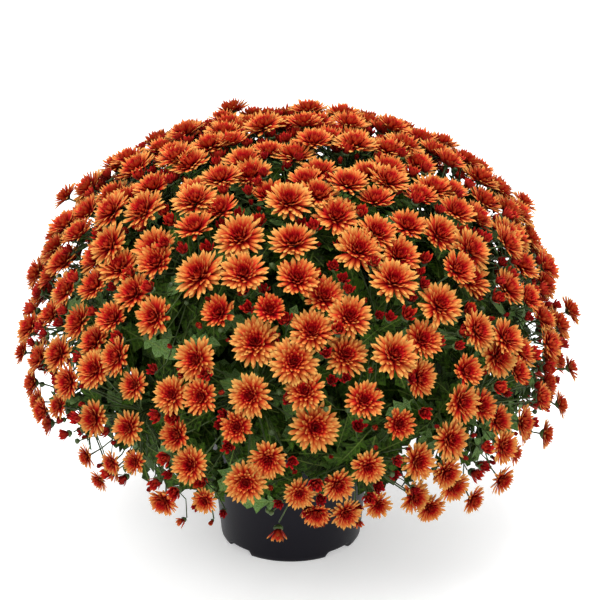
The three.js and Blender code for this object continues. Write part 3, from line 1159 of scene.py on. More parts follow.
    def spray_list(self) -> list[Spray]:
        """The sprays with their blooms, their buds, their leaf tips and their forks.

        Returns:
            The sprays.
        """
        sprays = self._empty_sprays()
        blooms = self._open_blooms()
        for bloom in blooms:
            self._nearest(bloom.centre, sprays).blooms.append(bloom)
        for spray in sprays:
            self._set_fork(spray)
        for bud in self._closed_blooms(blooms):
            self._nearest(bud.centre, sprays).buds.append(bud)
        for tip, face in self._leaf_tips():
            self._nearest(tip, sprays).leaf_tips.append((tip, face))
        return sprays

    @staticmethod
    def _nearest(place: Point, sprays: Sequence[Spray]) -> Spray:
        """The spray whose crown is nearest to a place."""
        return min(sprays, key=lambda spray: float(np.linalg.norm(place - spray.crown)))


# ---- finishes


@dataclass(frozen=True)
class PetalFinish:
    """Velvety petals: crimson at the root and in the heart, orange outwards, paler at the rim and below."""

    heart: Colour = linear(150, 6, 16)
    crimson: Colour = linear(168, 17, 14)
    scarlet: Colour = linear(176, 61, 25)
    orange: Colour = linear(180, 100, 42)
    tip: Colour = linear(182, 135, 66)
    back: Colour = linear(168, 44, 28)
    bud: Colour = linear(124, 5, 13)
    # Where the first five colours stand between the coolest place of a petal and the warmest.
    stops: tuple[float, ...] = (0.20, 0.40, 0.545, 0.74, 1.0)
    # How much warmer a place is by its way out, the bloom's age, the petal's tint, a patch and the petal's
    # middle, and how much cooler by its ring. The redder edges that the middle term leaves are partly the
    # petals' own colour and partly painted shade of the gaps between petals.
    by_length: float = 1.3
    by_age: float = 0.26
    by_tint: float = 0.18
    by_patch: float = 0.16
    by_middle: float = 0.20
    by_ring: float = 0.95
    ring_power: float = 3.6
    cooled: float = 0.62
    ribs: float = 30.0
    closed_age: float = 0.45
    roughness: float = 0.62

    def material(self) -> bpy.types.Material:
        """Builds the material.

        Returns:
            The material.
        """
        graph = ShaderGraph("petal_velvet")
        across, along = graph.along()
        # 1 in a petal's middle and 0 at its edges; the redder edges this gives are partly painted shade
        # between petals.
        middle = 1 - ((across - 0.5) * 2).size()
        ring, age = graph.attribute("ring"), graph.attribute("age")
        tint, under = graph.attribute("tint"), graph.attribute("under")
        patches = graph.noise(90.0)
        warmth = (
            along * self.by_length
            - ring**self.ring_power * self.by_ring
            + age * self.by_age
            + (tint - 0.5) * self.by_tint
            + (patches - 0.5) * self.by_patch
            + (middle.held() ** 0.6) * self.by_middle
            - self.cooled
        ).held()
        colours = (self.heart, self.crimson, self.scarlet, self.orange, self.tip)
        face = graph.ramp(warmth, tuple(zip(self.stops, colours)))
        ribs = ((across * self.ribs + patches * 2.0).sine() * 0.5 + 0.5).held()
        veined = graph.blend(ribs * 0.12, face, self.crimson)
        below = graph.blend(0.65, face, self.back)
        closed = ((-age - self.closed_age) * 2.4).held()
        colour = graph.blend(closed * 0.72, graph.blend(under, veined, below), self.bud)
        height = ribs * 0.6 + graph.noise(2400.0, 2.0) * 0.4
        return graph.surface(
            {
                "Base Color": colour,
                "Roughness": self.roughness + ribs * 0.08 + (patches - 0.5) * 0.12,
                "Specular IOR Level": 0.1,
                "Normal": graph.bump(height, 0.35, 0.0003),
            }
        )


@dataclass(frozen=True)
class LeafFinish:
    """Dark green blades with paler veins, a greyer underside, and pale frosted patches on some blades that
    are partly the leaves' own grey tone and partly painted highlights.
    """

    deep: Colour = linear(17, 29, 0)
    fresh: Colour = linear(62, 96, 16)
    # Pale grey-green of the frosted patches: partly the leaves' own tone, partly painted highlight.
    frost_and_highlight: Colour = linear(116, 144, 94)
    vein: Colour = linear(104, 122, 56)
    back: Colour = linear(72, 90, 46)
    # How much fresher a place is by the leaf's tint, a patch and a fleck. The flecks are light and dark
    # specks that are partly painted glints and shade on the lobed blades.
    by_tint: float = 0.6
    by_patch: float = 0.7
    by_fleck_and_glint: float = 2.2
    freshness: float = 0.04
    frost_and_highlight_tint: float = 0.72
    rib_sharpness: float = 42.0
    side_veins: float = 7.0
    side_slant: float = 1.1
    side_sharpness: float = 14.0
    roughness: float = 0.6

    def material(self) -> bpy.types.Material:
        """Builds the material.

        Returns:
            The material.
        """
        graph = ShaderGraph("leaf_blade")
        across, along = graph.along()
        out = (across - 0.5).size()
        tint, under = graph.attribute("tint"), graph.attribute("under")
        patches = graph.noise(45.0)
        # The flecks noise paints small light and dark specks, partly glints and shade.
        fine, flecks_and_glints = graph.noise(900.0, 4.0), graph.noise(300.0, 2.0)
        mottled = (patches - 0.5) * self.by_patch
        share = tint * self.by_tint + mottled + (flecks_and_glints - 0.5) * self.by_fleck_and_glint + self.freshness
        green = graph.blend(share.held(), self.deep, self.fresh)
        # Pale patches on the blades with the highest tints: partly frosted tone, partly painted highlights.
        frost_and_highlight_share = ((tint - self.frost_and_highlight_tint) * 7.0).held() * ((fine - 0.35) * 2.6).held()
        blade = graph.blend(frost_and_highlight_share * 0.8, green, self.frost_and_highlight)
        rib = (1 - out * self.rib_sharpness).held()
        slanted = along * self.side_veins - out * self.side_veins * self.side_slant
        branches = (1 - (slanted.fraction() - 0.5).size() * self.side_sharpness).held() * 0.6
        veins = (rib + branches).held()
        veined = graph.blend(veins * 0.6, blade, self.vein)
        colour = graph.blend(under * 0.7, veined, self.back)
        height = fine * 0.35 + (1 - veins) * 0.65
        return graph.surface(
            {
                "Base Color": colour,
                "Roughness": self.roughness + (fine - 0.5) * 0.25 + under * 0.12,
                "Specular IOR Level": 0.1,
                "Normal": graph.bump(height, 0.7, 0.0008),
            }
        )


@dataclass(frozen=True)
class StalkFinish:
    """Green stalks, cups and buds, mottled lighter."""

    shade: Colour = linear(28, 42, 10)
    light: Colour = linear(72, 92, 34)
    roughness: float = 0.55

    def material(self) -> bpy.types.Material:
        """Builds the material.

        Returns:
            The material.
        """
        graph = ShaderGraph("stalk_green")
        patches, fine = graph.noise(70.0), graph.noise(1500.0, 4.0)
        share = ((patches - 0.35) * 1.6 + graph.attribute("tint") * 0.3).held()
        colour = graph.blend(share, self.shade, self.light)
        return graph.surface(
            {
                "Base Color": colour,
                "Roughness": self.roughness + (fine - 0.5) * 0.2,
                "Specular IOR Level": 0.35,
                "Normal": graph.bump(fine, 0.4, 0.0004),
            }
        )


@dataclass(frozen=True)
class PotFinish:
    """Satin black moulded plastic with a faint grain and scuffs."""

    black: Colour = linear(3, 2, 6)
    grey: Colour = linear(11, 9, 16)
    roughness: float = 0.4

    def material(self) -> bpy.types.Material:
        """Builds the material.

        Returns:
            The material.
        """
        graph = ShaderGraph("pot_plastic")
        broad, grain = graph.noise(14.0), graph.noise(1800.0, 2.0)
        scuffs = graph.noise(1.0, 5.0, 0.7, stretch=(160.0, 160.0, 6.0))
        marks = ((scuffs - 0.6) * 5.0).held()
        colour = graph.blend(((broad - 0.4) * 0.9 + marks * 0.35).held(), self.black, self.grey)
        return graph.surface(
            {
                "Base Color": colour,
                "Roughness": self.roughness + (broad - 0.5) * 0.14 + marks * 0.12 + (grain - 0.5) * 0.08,
                "Specular IOR Level": 0.2,
                "Specular Tint": (0.86, 0.84, 1.0, 1.0),
                "Normal": graph.bump(grain * 0.7 + marks * 0.3, 0.22, 0.0004),
            }
        )


@dataclass(frozen=True)
class SoilFinish:
    """Dark crumbly potting soil with fibres."""

    dark: Colour = linear(32, 22, 16)
    brown: Colour = linear(84, 60, 42)
    fibre: Colour = linear(132, 104, 74)

    def material(self) -> bpy.types.Material:
        """Builds the material.

        Returns:
            The material.
        """
        graph = ShaderGraph("potting_soil")
        lumps, fine = graph.noise(180.0, 5.0), graph.noise(1400.0, 4.0, 0.7)
        earth = graph.blend(((lumps - 0.3) * 1.4).held(), self.dark, self.brown)
        specks = ((fine - 0.66) * 9.0).held()
        return graph.surface(
            {
                "Base Color": graph.blend(specks, earth, self.fibre),
                "Roughness": 0.85 + (fine - 0.5) * 0.2,
                "Normal": graph.bump(lumps * 0.6 + fine * 0.4, 0.9, 0.002),
            }
        )


@dataclass(frozen=True)
class FloorFinish:
    """The pale matt floor of the studio."""

    colour: Colour = (0.86, 0.86, 0.86)

    def material(self) -> bpy.types.Material:
        """Builds the material.

        Returns:
            The material.
        """
        graph = ShaderGraph("studio_floor")
        cloud = graph.noise(3.0)
        shade = graph.blend(cloud * 0.04, self.colour, (0.8, 0.8, 0.8))
        return graph.surface(
            {
                "Base Color": shade,
                "Roughness": 0.9 + (cloud - 0.5) * 0.05,
                "Emission Color": shade,
                "Emission Strength": 0.40,
            }
        )


# ---- blades


@dataclass(frozen=True)
class PetalShape:
    """A petal one unit long and wide, from its root at the origin out along +X, as a closed thin blade."""

    stations: tuple[float, ...] = (0.0, 0.50, 0.86)
    half_widths: tuple[float, ...] = (0.24, 0.46, 0.38)
    lifts: tuple[float, ...] = (0.0, 0.05, 0.05)
    tip_lift: float = 0.0
    roundness: float = 0.05
    lean: float = 0.0

    def mesh(self, name: str) -> bpy.types.Mesh:
        """Builds the blade: two edges and a ridge at each station, and a pointed tip.

        Args:
            name: The mesh's name.

        Returns:
            The mesh.
        """
        points, places = [], []
        for x, half, lift in zip(self.stations, self.half_widths, self.lifts):
            y, edge = self.lean * x * x, lift - self.roundness * half * 2
            points += [(x, y + half, edge), (x, y, lift), (x, y - half, edge)]
            places += [(0.5 + half, x), (0.5, x), (0.5 - half, x)]
        tip = len(points)
        points.append((1.0, self.lean, self.tip_lift))
        places.append((0.5, 1.0))
        faces, under, rim = [(0, 1, 2)], [0.0], set()
        for row in range(0, tip, 3):
            for side in range(3):
                a, b = row + side, row + (side + 1) % 3
                faces.append((a, tip, b) if row == tip - 3 else (a, a + 3, b + 3, b))
                under.append(float(side == 2))
                if side != 1:
                    rim.add((a, tip if row == tip - 3 else a + 3))
        return blade_mesh(name, points, places, faces, under, rim)


@dataclass(frozen=True)
class LeafOutline:
    """Half the edge of a leaf as places along and out, from stalk to tip, and where its ribs stand."""

    edge: tuple[Ends, ...]
    ribs: tuple[float, ...]


FULL_LEAF = LeafOutline(
    edge=(
        (0.0, 0.012), (0.15, 0.02), (0.23, 0.15), (0.31, 0.245), (0.37, 0.19), (0.41, 0.09), (0.50, 0.20),
        (0.61, 0.30), (0.665, 0.22), (0.70, 0.12), (0.79, 0.205), (0.88, 0.135), (1.0, 0.0),
    ),
    ribs=(0.0, 0.22, 0.46, 0.7, 0.86),
)
SMALL_LEAF = LeafOutline(
    edge=(
        (0.0, 0.014), (0.2, 0.03), (0.34, 0.25), (0.41, 0.08), (0.52, 0.17), (0.63, 0.31), (0.70, 0.12),
        (0.84, 0.18), (1.0, 0.0),
    ),
    ribs=(0.0, 0.3, 0.62, 0.84),
)


@dataclass(frozen=True)
class LeafShape:
    """A lobed leaf one unit long, out along +X with its face to +Z, as a closed thin blade."""

    outline: LeafOutline
    arch: float = 0.22
    fold: float = 0.28
    ripple: float = 0.12
    ripples: float = 17.0
    ripple_shift: float = 0.9
    thickness: float = 0.012
    root_swell: float = 1.6
    twist: float = 0.0

    def _lift(self, x: float, y: float) -> float:
        """The height of the blade at a place."""
        wave = self.ripple * math.sin(self.ripples * x + (self.ripple_shift if y > 0 else 0.0))
        return -self.arch * x * x + self.fold * abs(y) + wave * abs(y) + self.twist * x * y

    def mesh(self, name: str) -> bpy.types.Mesh:
        """Builds the blade between its outline and two midribs, one on each face.

        Args:
            name: The mesh's name.

        Returns:
            The mesh.
        """
        edge = self.outline.edge
        left = [(x, y, self._lift(x, y)) for x, y in edge]
        right = [(x, -y, self._lift(x, -y)) for x, y in edge[:-1]]
        top = [(x, 0.0, self._lift(x, 0.0)) for x in self.outline.ribs]
        low = [(x, 0.0, z - self.thickness * (self.root_swell - x)) for x, _, z in top]
        points: list[Point3] = []
        rows = []
        for line in (left, right, top, low):
            rows.append([len(points) + i for i in range(len(line))] + [len(left) - 1])
            points += line
        left_row, right_row, top_row, low_row = rows[0][:-1], *rows[1:]
        faces, under = [], []
        for outer, rib, flip in (
            (left_row, top_row, False),
            (right_row, top_row, True),
            (left_row, low_row, True),
            (right_row, low_row, False),
        ):
            strip = self._strip(points, outer, rib)
            faces += [face[::-1] if flip else face for face in strip]
            under += [1.0 if rib is low_row else 0.0] * len(strip)
        faces.append((left_row[0], top_row[0], right_row[0], low_row[0]))
        under.append(0.0)
        rim = {tuple(sorted(pair)) for row in (left_row, right_row) for pair in zip(row, row[1:])}
        places = [(0.5 + y, x) for x, y, _ in points]
        return blade_mesh(name, points, places, faces, under, rim)

    @staticmethod
    def _strip(points: Sequence[Point3], outer: Sequence[int], rib: Sequence[int]) -> list[tuple[int, ...]]:
        """Triangles between an edge and a rib that end in the same point.

        Args:
            points: The points of the blade.
            outer: The numbers of the edge's points.
            rib: The numbers of the rib's points.

        Returns:
            The triangles, which face up for the left edge.
        """
        faces, i, j = [], 0, 0
        while i < len(outer) - 1 or j < len(rib) - 1:
            ahead = j == len(rib) - 1 or (
                i < len(outer) - 1 and points[outer[i + 1]][0] <= points[rib[j + 1]][0]
            )
            if ahead:
                face, i = (outer[i], rib[j], outer[i + 1]), i + 1
            else:
                face, j = (outer[i], rib[j], rib[j + 1]), j + 1
            if len(set(face)) == 3:
                faces.append(face)
        return faces


@dataclass(frozen=True)
class CupShape:
    """A closed turned shape one unit in radius, such as the green cup under a bloom or a round bud."""

    profile: tuple[Ends, ...]
    sides: int = 6
    flute: float = 0.06

    def mesh(self, name: str) -> bpy.types.Mesh:
        """Builds the shape round +Z from a lower pole to an upper one.

        Args:
            name: The mesh's name.

        Returns:
            The mesh.
        """
        (_, bottom), *rings, (_, top) = self.profile
        points = [(0.0, 0.0, bottom)]
        for radius, z in rings:
            for side, angle in enumerate(ring_angles(self.sides)):
                points.append(place_at(radius * (1 + self.flute * (-1) ** side), angle, z))
        points.append((0.0, 0.0, top))
        return mesh_of(name, points, lathe_faces(1, len(rings), self.sides, (0, len(points) - 1)))


# ---- blooms


@dataclass(frozen=True)
class WhorlForm:
    """How many petals a flower has, and how they stand.

    The tilts are those of the outermost and the innermost petal. Inner is the innermost petal's length as a
    share of the outermost's, the reach is a share of the flower's radius and the width one of the reach.
    """

    petals: float
    tilt_low: float
    tilt_high: float
    inner: float
    width: float
    reach: float

    def towards(self, other: "WhorlForm", share: float) -> "WhorlForm":
        """The form a share of the way to another."""
        return WhorlForm(*(mix(*pair, share) for pair in zip(astuple(self), astuple(other))))


@dataclass
class BloomHeads:
    """The petals of every spray, set in whorls by the golden angle from the rim of a bloom to its heart."""

    sprays: list[Spray]
    finish: PetalFinish = PetalFinish()
    # An open bloom's form lies between young and grown by its age, and its number of petals goes by its size.
    young: WhorlForm = WhorlForm(0, tilt_low=0.62, tilt_high=1.45, inner=0.36, width=0.235, reach=1.16)
    grown: WhorlForm = WhorlForm(0, tilt_low=0.10, tilt_high=1.28, inner=0.36, width=0.210, reach=1.07)
    half_open: WhorlForm = WhorlForm(21, tilt_low=0.78, tilt_high=1.5, inner=0.66, width=0.36, reach=1.4)
    red_bud: WhorlForm = WhorlForm(13, tilt_low=1.2, tilt_high=1.58, inner=0.9, width=0.56, reach=1.6)
    # The petals and the radii of the smallest and the largest open blooms.
    petals: tuple[int, int] = (76, 124)
    radii: Ends = (0.0135, 0.021)
    swell_skirt: float = 0.87
    swell_top: float = 1.18
    swell_from: float = -0.3
    climb_power: float = 1.6
    heart_from: float = 0.42
    bud_age: float = -0.3
    angle_shake: float = 0.12
    tilt_shake: float = 0.09
    roll_shake: float = 0.22
    lengths: Ends = (0.90, 1.04)
    widths: Ends = (0.88, 1.1)
    # How a petal changes from the outermost ring to the heart, and where its root stands, in radii.
    shortening_power: float = 1.6
    narrowing: float = 0.3
    root_out: float = 0.10
    root_in: float = 0.07
    heart_rise: float = 0.10
    seat_depth: float = 0.14
    tree_seed: int = 11
    seed: int = 5

    def outer_shapes(self) -> list[PetalShape]:
        """Four outer petals.

        Returns:
            The petals, which the tree counts before those of the heart.
        """
        return [
            PetalShape(),
            PetalShape(lifts=(0.0, 0.04, 0.09), tip_lift=0.10, lean=0.03),
            PetalShape(lifts=(0.0, 0.07, 0.06), tip_lift=0.02, lean=-0.03),
            PetalShape(half_widths=(0.24, 0.42, 0.40), lifts=(0.0, 0.06, 0.10), tip_lift=0.13),
        ]

    def inner_shapes(self) -> list[PetalShape]:
        """Three petals of the heart, which curl in.

        Returns:
            The petals.
        """
        stations, widths = (0.0, 0.74), (0.30, 0.48)
        return [
            PetalShape(stations, widths, (0.0, 0.16), 0.26),
            PetalShape(stations, widths, (0.0, 0.12), 0.18, lean=0.05),
            PetalShape(stations, widths, (0.0, 0.22), 0.34, lean=-0.05),
        ]

    def tree(self) -> GeometryGraph:
        """The tree that sets petals round each point.

        Returns:
            The tree, whose points carry the size, the tilt and the number of the petals.
        """
        graph = GeometryGraph("petal_whorls", self.tree_seed)
        shapes = graph.input("Shapes", "Collection")
        material = graph.input("Material", "Material")
        climb, seed = graph.input("Climb", "Float"), graph.input("Seed", "Int")
        petals = graph.attribute("petals", "INT")
        inputs = {"Geometry": graph.geometry(), "Amount": petals}
        copies = graph.node("GeometryNodeDuplicateElements", {"domain": "POINT"}, inputs)
        number = graph.also(copies, "Duplicate Index")
        ring = (number / (petals - 1)).held()
        radius, turn = graph.attribute("radius"), graph.attribute("turn")
        facing = graph.attribute("facing", "QUATERNION")
        angle = number * GOLDEN_ANGLE + turn * (2 * math.pi) + graph.shake(self.angle_shake)
        low, high = graph.attribute("tilt_low"), graph.attribute("tilt_high")
        tilt = low + (high - low) * ring**climb + graph.shake(self.tilt_shake)
        shorter = (graph.attribute("inner") - 1) * ring**self.shortening_power
        reach = radius * (1 + shorter) * graph.random(*self.lengths)
        narrower = 1 - ring * self.narrowing
        width = radius * graph.attribute("width") * narrower * graph.random(*self.widths)
        root = radius * (self.root_out - ring * self.root_in)
        height = radius * (ring * self.heart_rise - self.seat_depth)
        place = graph.vector(root * angle.cosine(), root * angle.sine(), height)
        offset = graph.node("FunctionNodeRotateVector", {}, {"Vector": place, "Rotation": facing})
        moved = graph.node("GeometryNodeSetPosition", {}, {"Geometry": copies, "Offset": offset})
        marked = graph.stored(graph.stored(moved, "ring", ring), "tint", graph.random(0.0, 1.0))
        stand = graph.rotation(graph.shake(self.roll_shake), -tilt, angle)
        inputs = {"Rotation": facing, "Rotate By": stand}
        rotation = graph.node("FunctionNodeRotateRotation", {"rotation_space": "LOCAL"}, inputs)
        heart = ((ring > self.heart_from) + (graph.attribute("age") < self.bud_age)).held()
        pick = graph.random(0.0, 1.0, seed)
        outer, inner = len(self.outer_shapes()), len(self.inner_shapes())
        shape = (heart * (outer + pick * (inner - 0.01)) + (1 - heart) * (pick * (outer - 0.01))).whole()
        scale = graph.vector(reach, width, reach)
        values = {"Instance Index": shape, "Rotation": rotation, "Scale": scale}
        graph.end(graph.scatter(marked, shapes, values), material)
        return graph

    def _row(self, bloom: Bloom) -> dict[str, float]:
        """What the point of a flower carries: its form, its petals' reach, its age and its turn.

        Args:
            bloom: The flower.

        Returns:
            The values by name.
        """
        forms = {Stage.HALF_OPEN: self.half_open, Stage.RED_BUD: self.red_bud}
        form, swell = forms.get(bloom.stage), 1.0
        if form is None:
            low, high = self.radii
            petals = round(mix(*self.petals, held((bloom.radius - low) / (high - low))))
            form = replace(self.young.towards(self.grown, bloom.age), petals=petals)
            swell = mix(self.swell_skirt, self.swell_top, held(bloom.outward[2] - self.swell_from))
        radius = bloom.radius * form.reach * swell
        return {**asdict(form), "radius": radius, "age": bloom.age, "turn": bloom.turn}

    def points(self, spray: Spray) -> bpy.types.Mesh:
        """One point for each flower of a spray that shows petals, with what its whorls need.

        Args:
            spray: The spray.

        Returns:
            The mesh of points.
        """
        flowers = [*spray.blooms, *(bud for bud in spray.buds if bud.stage is not Stage.GREEN_BUD)]
        rows = [self._row(bloom) for bloom in flowers]
        mesh = mesh_of("bloom_points", [bloom.centre for bloom in flowers], [])
        keep(mesh, "facing", (tuple(faced(bloom.facing)) for bloom in flowers), "QUATERNION")
        keep(mesh, "petals", (row["petals"] for row in rows), "INT")
        for name in ("radius", "age", "turn", "tilt_low", "tilt_high", "inner", "width"):
            keep(mesh, name, (row[name] for row in rows))
        return mesh

    def build(self) -> None:
        """Makes one piece of petals for each spray."""
        material = self.finish.material()
        kinds = [*self.outer_shapes(), *self.inner_shapes()]
        shapes = collection_of("petal", [kind.mesh(f"petal_{i}") for i, kind in enumerate(kinds)])
        tree = self.tree()
        inputs = {"Shapes": shapes, "Material": material, "Climb": self.climb_power}
        for spray in self.sprays:
            mesh = tree.run(self.points(spray), {**inputs, "Seed": self.seed + spray.number})
            name = f"{spray.number + 1:02d}"
            finished_piece(f"bloom_spray_{name}", mesh, Slot.PETAL, [f"spray_{name}"])
        clear_collection(shapes)


# ---- foliage


@dataclass(frozen=True)
class Leaf:
    """One leaf: where it grows, the way it points, the way its face looks, its length and its shape."""

    root: Point
    along: Point
    face: Point
    length: float
    shape: int


@dataclass
class Mark:
    """A point of a leafy spray, with what it carries."""

    place: Point
    part: Part = Part.STALK
    facing: Quaternion = field(default_factory=Quaternion)
    size: Point3 = (1.0, 1.0, 1.0)
    shape: int = 0
    thick: float = 0.0
    tint: float = 0.5


@dataclass
class LeafySprays:
    """The stem of every spray with its stalks, the cups under its blooms, its green buds and its leaves."""

    sprays: list[Spray]
    leaf_finish: LeafFinish = LeafFinish()
    stalk_finish: StalkFinish = StalkFinish()
    hole_depth: float = 0.026
    stem_radii: Ends = (0.0030, 0.0016)
    stem_stations: int = 10
    stem_past_fork: float = 0.004
    stalk_radius: float = 0.0009
    stalk_widths: tuple[float, ...] = (1.35, 1.1, 1.0, 1.0, 1.0, 1.3)
    stalk_start: Ends = (-0.004, 0.002)
    stalk_pulls: Ends = (0.35, 0.25)
    bud_stalk: float = 0.75
    bud_stalk_from: float = 0.9
    sides: int = 4
    inner_leaves: int = 44
    inner_shares: Ends = (0.42, 0.95)
    inner_slopes: Ends = (0.1, 0.8)
    inner_lengths: Ends = (0.048, 0.066)
    inner_face_up: float = 0.5
    lowest_knot: int = 5
    tip_lengths: Ends = (0.028, 0.050)
    slope_weight: float = 0.02
    slope_wanted: float = 0.5
    full_leaf_share: float = 0.25
    leaf_widths: Ends = (0.8, 1.1)
    leaf_curls: Ends = (0.7, 1.2)
    seed: int = 4421
    seed_step: int = 77

    def small_leaves(self) -> list[LeafShape]:
        """Five small leaves that arch, fold and twist in their own ways.

        Returns:
            The leaves, which the tree counts before the full ones.
        """
        return [
            LeafShape(SMALL_LEAF),
            LeafShape(SMALL_LEAF, arch=0.38, fold=0.18, twist=0.25),
            LeafShape(SMALL_LEAF, arch=0.10, fold=0.36, twist=-0.25),
            LeafShape(SMALL_LEAF, arch=0.30, fold=0.08, ripple=0.20),
            LeafShape(SMALL_LEAF, arch=0.48, fold=0.25, ripple=0.08, twist=-0.12),
        ]

    def full_leaves(self) -> list[LeafShape]:
        """Three full leaves.

        Returns:
            The leaves.
        """
        return [
            LeafShape(FULL_LEAF, arch=0.30, fold=0.20),
            LeafShape(FULL_LEAF, arch=0.20, fold=0.30, twist=0.2),
            LeafShape(FULL_LEAF, arch=0.42, fold=0.12, ripple=0.20, twist=-0.2),
        ]

    def cups(self) -> list[CupShape]:
        """The cup under an open bloom, the deeper one round a bud, and a round green bud.

        Returns:
            The three shapes, in that order.
        """
        return [
            CupShape(((0.0, -0.34), (0.10, -0.32), (0.27, -0.22), (0.36, -0.10), (0.0, -0.08))),
            CupShape(((0.0, -0.62), (0.22, -0.56), (0.46, -0.34), (0.5, -0.1), (0.0, -0.12)), flute=0.1),
            CupShape(((0.0, -0.8), (0.5, -0.7), (1.0, -0.15), (0.92, 0.35), (0.5, 0.75), (0.0, 0.85))),
        ]

    @staticmethod
    def _set_out(graph: GeometryGraph, part: Part) -> Wire:
        """Sets a shape on every point that carries one part, as the point's own values say.

        Args:
            graph: The tree, which gets the collection of shapes as its input.
            part: The part.

        Returns:
            The instances.
        """
        values = {
            "Selection": (graph.attribute("part", "INT") - part.value).size() < 0.5,
            "Instance Index": graph.attribute("shape", "INT"),
            "Rotation": graph.attribute("facing", "QUATERNION"),
            "Scale": graph.attribute("size", "FLOAT_VECTOR"),
        }
        return graph.scatter(graph.geometry(), graph.input("Shapes", "Collection"), values)

    def stalk_tree(self) -> GeometryGraph:
        """The tree that sweeps a round stalk along every line and sets the cups.

        Returns:
            The tree, whose points carry their radius and what they stand for.
        """
        graph = GeometryGraph("stalk_sweep")
        profile = {"Resolution": graph.input("Sides", "Int"), "Radius": 1.0}
        sweep = {
            "Curve": graph.node("GeometryNodeMeshToCurve", {}, {"Mesh": graph.geometry()}),
            "Profile Curve": graph.node("GeometryNodeCurvePrimitiveCircle", {}, profile),
            "Scale": graph.attribute("thick"),
            "Fill Caps": True,
        }
        tubes = graph.node("GeometryNodeCurveToMesh", {}, sweep)
        smooth = graph.node("GeometryNodeSetShadeSmooth", {}, {"Geometry": tubes, "Shade Smooth": True})
        both = graph.together(smooth, self._set_out(graph, Part.CUP))
        graph.end(both, graph.input("Material", "Material"))
        return graph

    def leaf_tree(self) -> GeometryGraph:
        """The tree that sets a leaf on every leaf point.

        Returns:
            The tree, whose points carry each leaf's shape, turn and size.
        """
        graph = GeometryGraph("leaf_scatter")
        graph.end(self._set_out(graph, Part.LEAF), graph.input("Material", "Material"))
        return graph

    def _stem(self, spray: Spray) -> list[Mark]:
        """The line of a spray's stem, from the bottom of its hole to the fork.

        Args:
            spray: The spray.

        Returns:
            The points of the line, with their radii.
        """
        shares = np.linspace(0, 1, self.stem_stations)
        places = [spray.foot - UP * self.hole_depth, *(spray.stem_point(share) for share in shares)]
        places.append(spray.fork + spray.axis * self.stem_past_fork)
        last = len(places) - 1
        return [Mark(place, thick=mix(*self.stem_radii, i / last)) for i, place in enumerate(places)]

    def _stalk(self, spray: Spray, bloom: Bloom, draws: Draws) -> list[Mark]:
        """The line of a flower's stalk.

        Args:
            spray: The spray.
            bloom: The flower.
            draws: The stream that picks where the stalk starts.

        Returns:
            The points of the line, with their radii.
        """
        end = bloom.neck()
        start = spray.fork + spray.axis * draws.between(*self.stalk_start)
        thick = self.stalk_radius
        if bloom.stage is not Stage.OPEN:
            start = mix(start, spray.stem_point(self.bud_stalk_from), draws.next())
            thick *= self.bud_stalk
        reach = float(np.linalg.norm(end - start))
        first = start + spray.axis * reach * self.stalk_pulls[0]
        second = end - bloom.facing * reach * self.stalk_pulls[1]
        shares = np.linspace(0, 1, len(self.stalk_widths))
        return [
            Mark(curve_point((start, first, second, end), share), thick=thick * width)
            for share, width in zip(shares, self.stalk_widths)
        ]

    def _inner_leaves(self, spray: Spray, draws: Draws) -> list[Leaf]:
        """The leaves that grow from the upper part of a spray's stem, round it by the golden angle.

        Args:
            spray: The spray.
            draws: The stream that picks their places, slopes, lengths and shapes.

        Returns:
            The leaves.
        """
        leaves = []
        turn = draws.between(0, 2 * math.pi)
        for _ in range(self.inner_leaves):
            share = draws.between(*self.inner_shares)
            root, grow = spray.stem_point(share), spray.stem_direction(share)
            turn += GOLDEN_ANGLE
            side = square_to(grow, UP)
            out = side * math.cos(turn) + np.cross(grow, side) * math.sin(turn)
            slope = draws.between(*self.inner_slopes)
            along = unit(out * math.cos(slope) + grow * math.sin(slope))
            length = draws.between(*self.inner_lengths)
            shape = int(draws.next() * len(self.small_leaves()))
            leaves.append(Leaf(root, along, spray.axis + UP * self.inner_face_up, length, shape))
        return leaves

    def _canopy_leaves(self, spray: Spray, knots: np.ndarray, draws: Draws) -> list[Leaf]:
        """The leaves whose tips fill the canopy.

        Args:
            spray: The spray.
            knots: The points of its stem and stalks that a leaf may grow from.
            draws: The stream that picks their lengths and shapes.

        Returns:
            The leaves, each from the point that suits its length and slope best.
        """
        leaves = []
        small, full = len(self.small_leaves()), len(self.full_leaves())
        for tip, face in spray.leaf_tips:
            gaps = tip - knots
            reaches = np.linalg.norm(gaps, axis=1)
            slopes = gaps @ unit(spray.axis) / reaches
            too_long = abs(reaches - draws.between(*self.tip_lengths))
            misfit = too_long + self.slope_weight * abs(slopes - self.slope_wanted)
            root = knots[int(np.argmin(misfit))]
            length = float(np.linalg.norm(tip - root))
            is_full = draws.next() < self.full_leaf_share
            shape = small + int(draws.next() * full) if is_full else int(draws.next() * small)
            leaves.append(Leaf(root, (tip - root) / length, face, length, shape))
        return leaves

    def _leaf_mark(self, leaf: Leaf, draws: Draws) -> Mark:
        """The point that carries a leaf, with a width, a curl and a tint of its own.

        Args:
            leaf: The leaf.
            draws: The stream that varies it.

        Returns:
            The point.
        """
        width, curl = draws.between(*self.leaf_widths), draws.between(*self.leaf_curls)
        size = (leaf.length, leaf.length * width, leaf.length * curl)
        facing = turned(leaf.along, leaf.face)
        return Mark(leaf.root, Part.LEAF, facing, size, leaf.shape, tint=draws.next())

